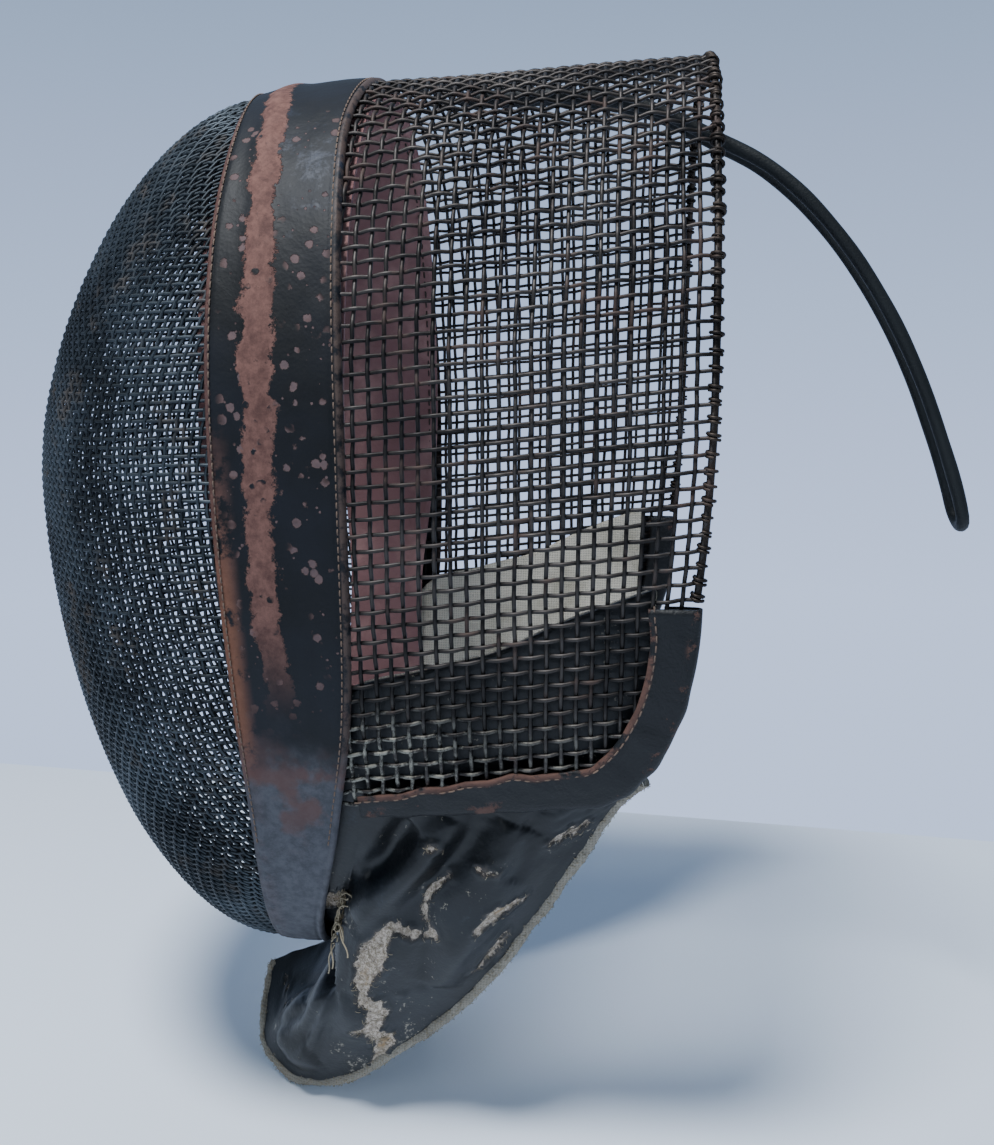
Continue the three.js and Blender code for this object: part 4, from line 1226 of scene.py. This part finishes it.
def bib_hem():
    """The rolled canvas edge with its fuzz."""
    across = np.linspace(-0.995, 0.995, 600)
    centre = bib_sheet(across, np.full_like(across, 1.0))
    outward = sheet_outward(bib_sheet, across, np.full_like(across, 0.94))
    centre = centre - outward * 1.5
    centre[:, 2] += 0.7 * soft_noise(81, 1, len(across), 14)[0]
    along = along_path(centre)
    down = unit(np.cross(along, outward))
    turn = np.linspace(0, 2 * np.pi, 18, endpoint=False)
    lumps = 1 + 0.14 * soft_noise(82, len(across), 18, 3) + 0.1 * soft_noise(83, len(across), 18, 9)
    ring = lumps[..., None] * (2.2 * down[:, None] * np.cos(turn)[None, :, None]
                               + 2.1 * outward[:, None] * np.sin(turn)[None, :, None])
    points = (centre[:, None] + ring).reshape(-1, 3)
    faces = grid_faces(len(across), 18, 0, False, True)
    faces += [list(range(18))[::-1], list(range(599 * 18, 600 * 18))]
    places = {"outward": unit(ring).reshape(-1, 3), "fray": np.ones(len(points))}
    hem = finish_mesh(make_mesh("bib_hem", points, faces, places), EDGING)
    fuzz = FIBRES.grow(hem, "bib_hem_fuzz", keep=True, density=0.8e6, length=0.9 * MM,
                       fibre_radius=0.09 * MM, bend=0.2 * MM, seed=5, material=PALE_THREAD)
    return placed(hem, "edging", "bib_edge"), placed(fuzz, "edging")


# ---- head spring ----

TONGUE_WIDTH, TONGUE_ROD_RADIUS = 19.0, 2.3
TONGUE_ROUTE = [(-28, 1.8), (8, 2.4), (36, -2), (60, -13), (74, -20), (86, -29), (97, -40),
                (109, -55), (121, -74), (131, -94), (139, -114), (145, -131), (148, -142)]


def tongue():
    """The covered spring: two rods side by side, joined by the turn at the tip."""
    route = np.array(TONGUE_ROUTE, float)
    run = np.concatenate([[0], np.cumsum(np.hypot(*np.diff(route, axis=0).T))])
    spread = TONGUE_WIDTH / 2 - TONGUE_ROD_RADIUS
    at = np.linspace(0, run[-1] - spread, 90)
    y, z = smooth(run, route[:, 0], at), smooth(run, route[:, 1], at)
    flare = spread * (0.45 + 0.55 * ease(at / run[-1], 0.1, 0.55))
    out = np.stack([flare, y, z], axis=1)
    ahead = unit(out[-1] - out[-2]) * [0, 1, 1]
    turn = np.linspace(0, np.pi, 15)[1:-1]
    bend = out[-1] * [0, 1, 1] + ahead * spread * np.sin(turn)[:, None]
    bend[:, 0] = spread * np.cos(turn)
    line = np.concatenate([out, bend, out[::-1] * [-1, 1, 1]])
    along = along_path(line)
    up = unit(np.cross(along, np.cross([0, 0.45, 0.9], along)))
    across = unit(np.cross(along, up))
    size = TONGUE_ROD_RADIUS * (1 + 0.05 * soft_noise(91, 1, len(line), 5)[0])[:, None]
    rods = tube("spring_tongue", line, across * size, up * size, SPRING_COVER, 14)
    return placed(rods, "tongue_cover", "tongue")


# ---- the scene ----

def placed(piece, slot, *nodes):
    """Rides on the mask and stands for the CAD nodes it replaces; the slot is not used."""
    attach(piece, "root")
    if nodes:
        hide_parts(*nodes)
    return piece


CAMERA_AT = np.array([450.0, 28.35, -75.28])
CAMERA_YAW, CAMERA_PITCH = math.radians(5.6), math.radians(11)
CAMERA_LENS = 39.3


def camera_axes():
    ahead = np.array([-math.cos(CAMERA_YAW) * math.cos(CAMERA_PITCH),
                      -math.sin(CAMERA_YAW) * math.cos(CAMERA_PITCH), -math.sin(CAMERA_PITCH)])
    right = np.array([-math.sin(CAMERA_YAW), math.cos(CAMERA_YAW), 0])
    return right, np.cross(right, ahead), ahead


def add_camera():
    right, up, ahead = camera_axes()
    data = bpy.data.cameras.new("camera")
    data.lens, data.clip_start, data.clip_end = CAMERA_LENS, 0.01, 20
    camera = bpy.data.objects.new("camera", data)
    turn = Matrix([[*row] for row in np.stack([right, up, -ahead], axis=1)])
    camera.matrix_world = Matrix.Translation(CAMERA_AT * MM) @ turn.to_4x4()
    bpy.context.scene.collection.objects.link(camera)
    bpy.context.scene.camera = camera


FLOOR_SIZE, FLOOR_DEPTH, FLOOR_TURN = 4000.0, 715.0, math.radians(12)


def add_floor():
    """A pale floor that ends a little way behind the mask."""
    finish = Finish("floor paper")
    paper = finish.mix(finish.noise(300, 2), srgb(230, 240, 254), srgb(226, 236, 250))
    floor_z = cad_box[0].z / MM - 0.5
    right, _, ahead = camera_axes()
    ahead = unit(ahead * [1, 1, 0])
    run = right * math.cos(FLOOR_TURN) - ahead * math.sin(FLOOR_TURN)
    near = np.cross(run, [0, 0, 1]) * FLOOR_SIZE
    near = near * -np.sign(near @ ahead)
    foot = CAMERA_AT + ahead * FLOOR_DEPTH
    foot[2] = floor_z
    corners = [foot - run * FLOOR_SIZE, foot + run * FLOOR_SIZE, foot + run * FLOOR_SIZE + near,
               foot - run * FLOOR_SIZE + near]
    floor = make_mesh("floor", corners, [(0, 1, 2, 3)])
    floor.data.materials.append(finish.coat(paper, 0.85))


def add_light(name, place, size, power, color, aim=(0, 0, -150)):
    data = bpy.data.lights.new(name, "AREA")
    data.shape, data.size, data.energy, data.color = "DISK", size * MM, power, color
    light = bpy.data.objects.new(name, data)
    place, aim = np.array(place, float), np.array(aim, float)
    back = unit(place - aim)
    right = unit(np.cross([0.01, 0, 1], back))
    turn = Matrix([[*row] for row in np.stack([right, np.cross(back, right), back], axis=1)])
    light.matrix_world = Matrix.Translation(place * MM) @ turn.to_4x4()
    bpy.context.scene.collection.objects.link(light)


def add_lights():
    add_light("key", (470, -220, 1000), 330, 27, (0.94, 0.97, 1.0))
    add_light("front_fill", (900, -500, 300), 500, 1.2, (0.84, 0.92, 1.0))


def add_studio():
    """Soft light from all round, paler behind the mask and towards the floor."""
    world = bpy.data.worlds.new("studio")
    world.use_nodes = True
    tree = world.node_tree

    def node(kind, values, output=0, **settings):
        made = tree.nodes.new("ShaderNode" + kind)
        for key, value in settings.items():
            setattr(made, key, value)
        for key, value in values.items():
            if isinstance(value, bpy.types.NodeSocket):
                tree.links.new(value, made.inputs[key])
            else:
                made.inputs[key].default_value = value
        return made.outputs[output]

    def blend(place, low, high, start, end):
        share = node("MapRange", {"Value": place, "From Min": low, "From Max": high})
        return node("Mix", {0: share, 6: start, 7: end}, 2, data_type="RGBA")
    way = node("TexCoord", {})
    aside, height = node("SeparateXYZ", {0: way}, 0), node("SeparateXYZ", {0: way}, 2)
    behind = blend(height, -0.2, 0.3, (0.74, 0.92, 1.34, 1), (0.31, 0.43, 0.64, 1))
    color = blend(aside, -0.75, 0.1, behind, (0.19, 0.24, 0.30, 1))
    tree.links.new(color, tree.nodes["Background"].inputs[0])
    bpy.context.scene.world = world


add_camera()
add_floor()
add_lights()
add_studio()
face_wires()
side_wires()
rim()
band()
band_stitches()
inner_band()
for hand in (LEFT, RIGHT):
    binding(hand)
bib()
tongue()
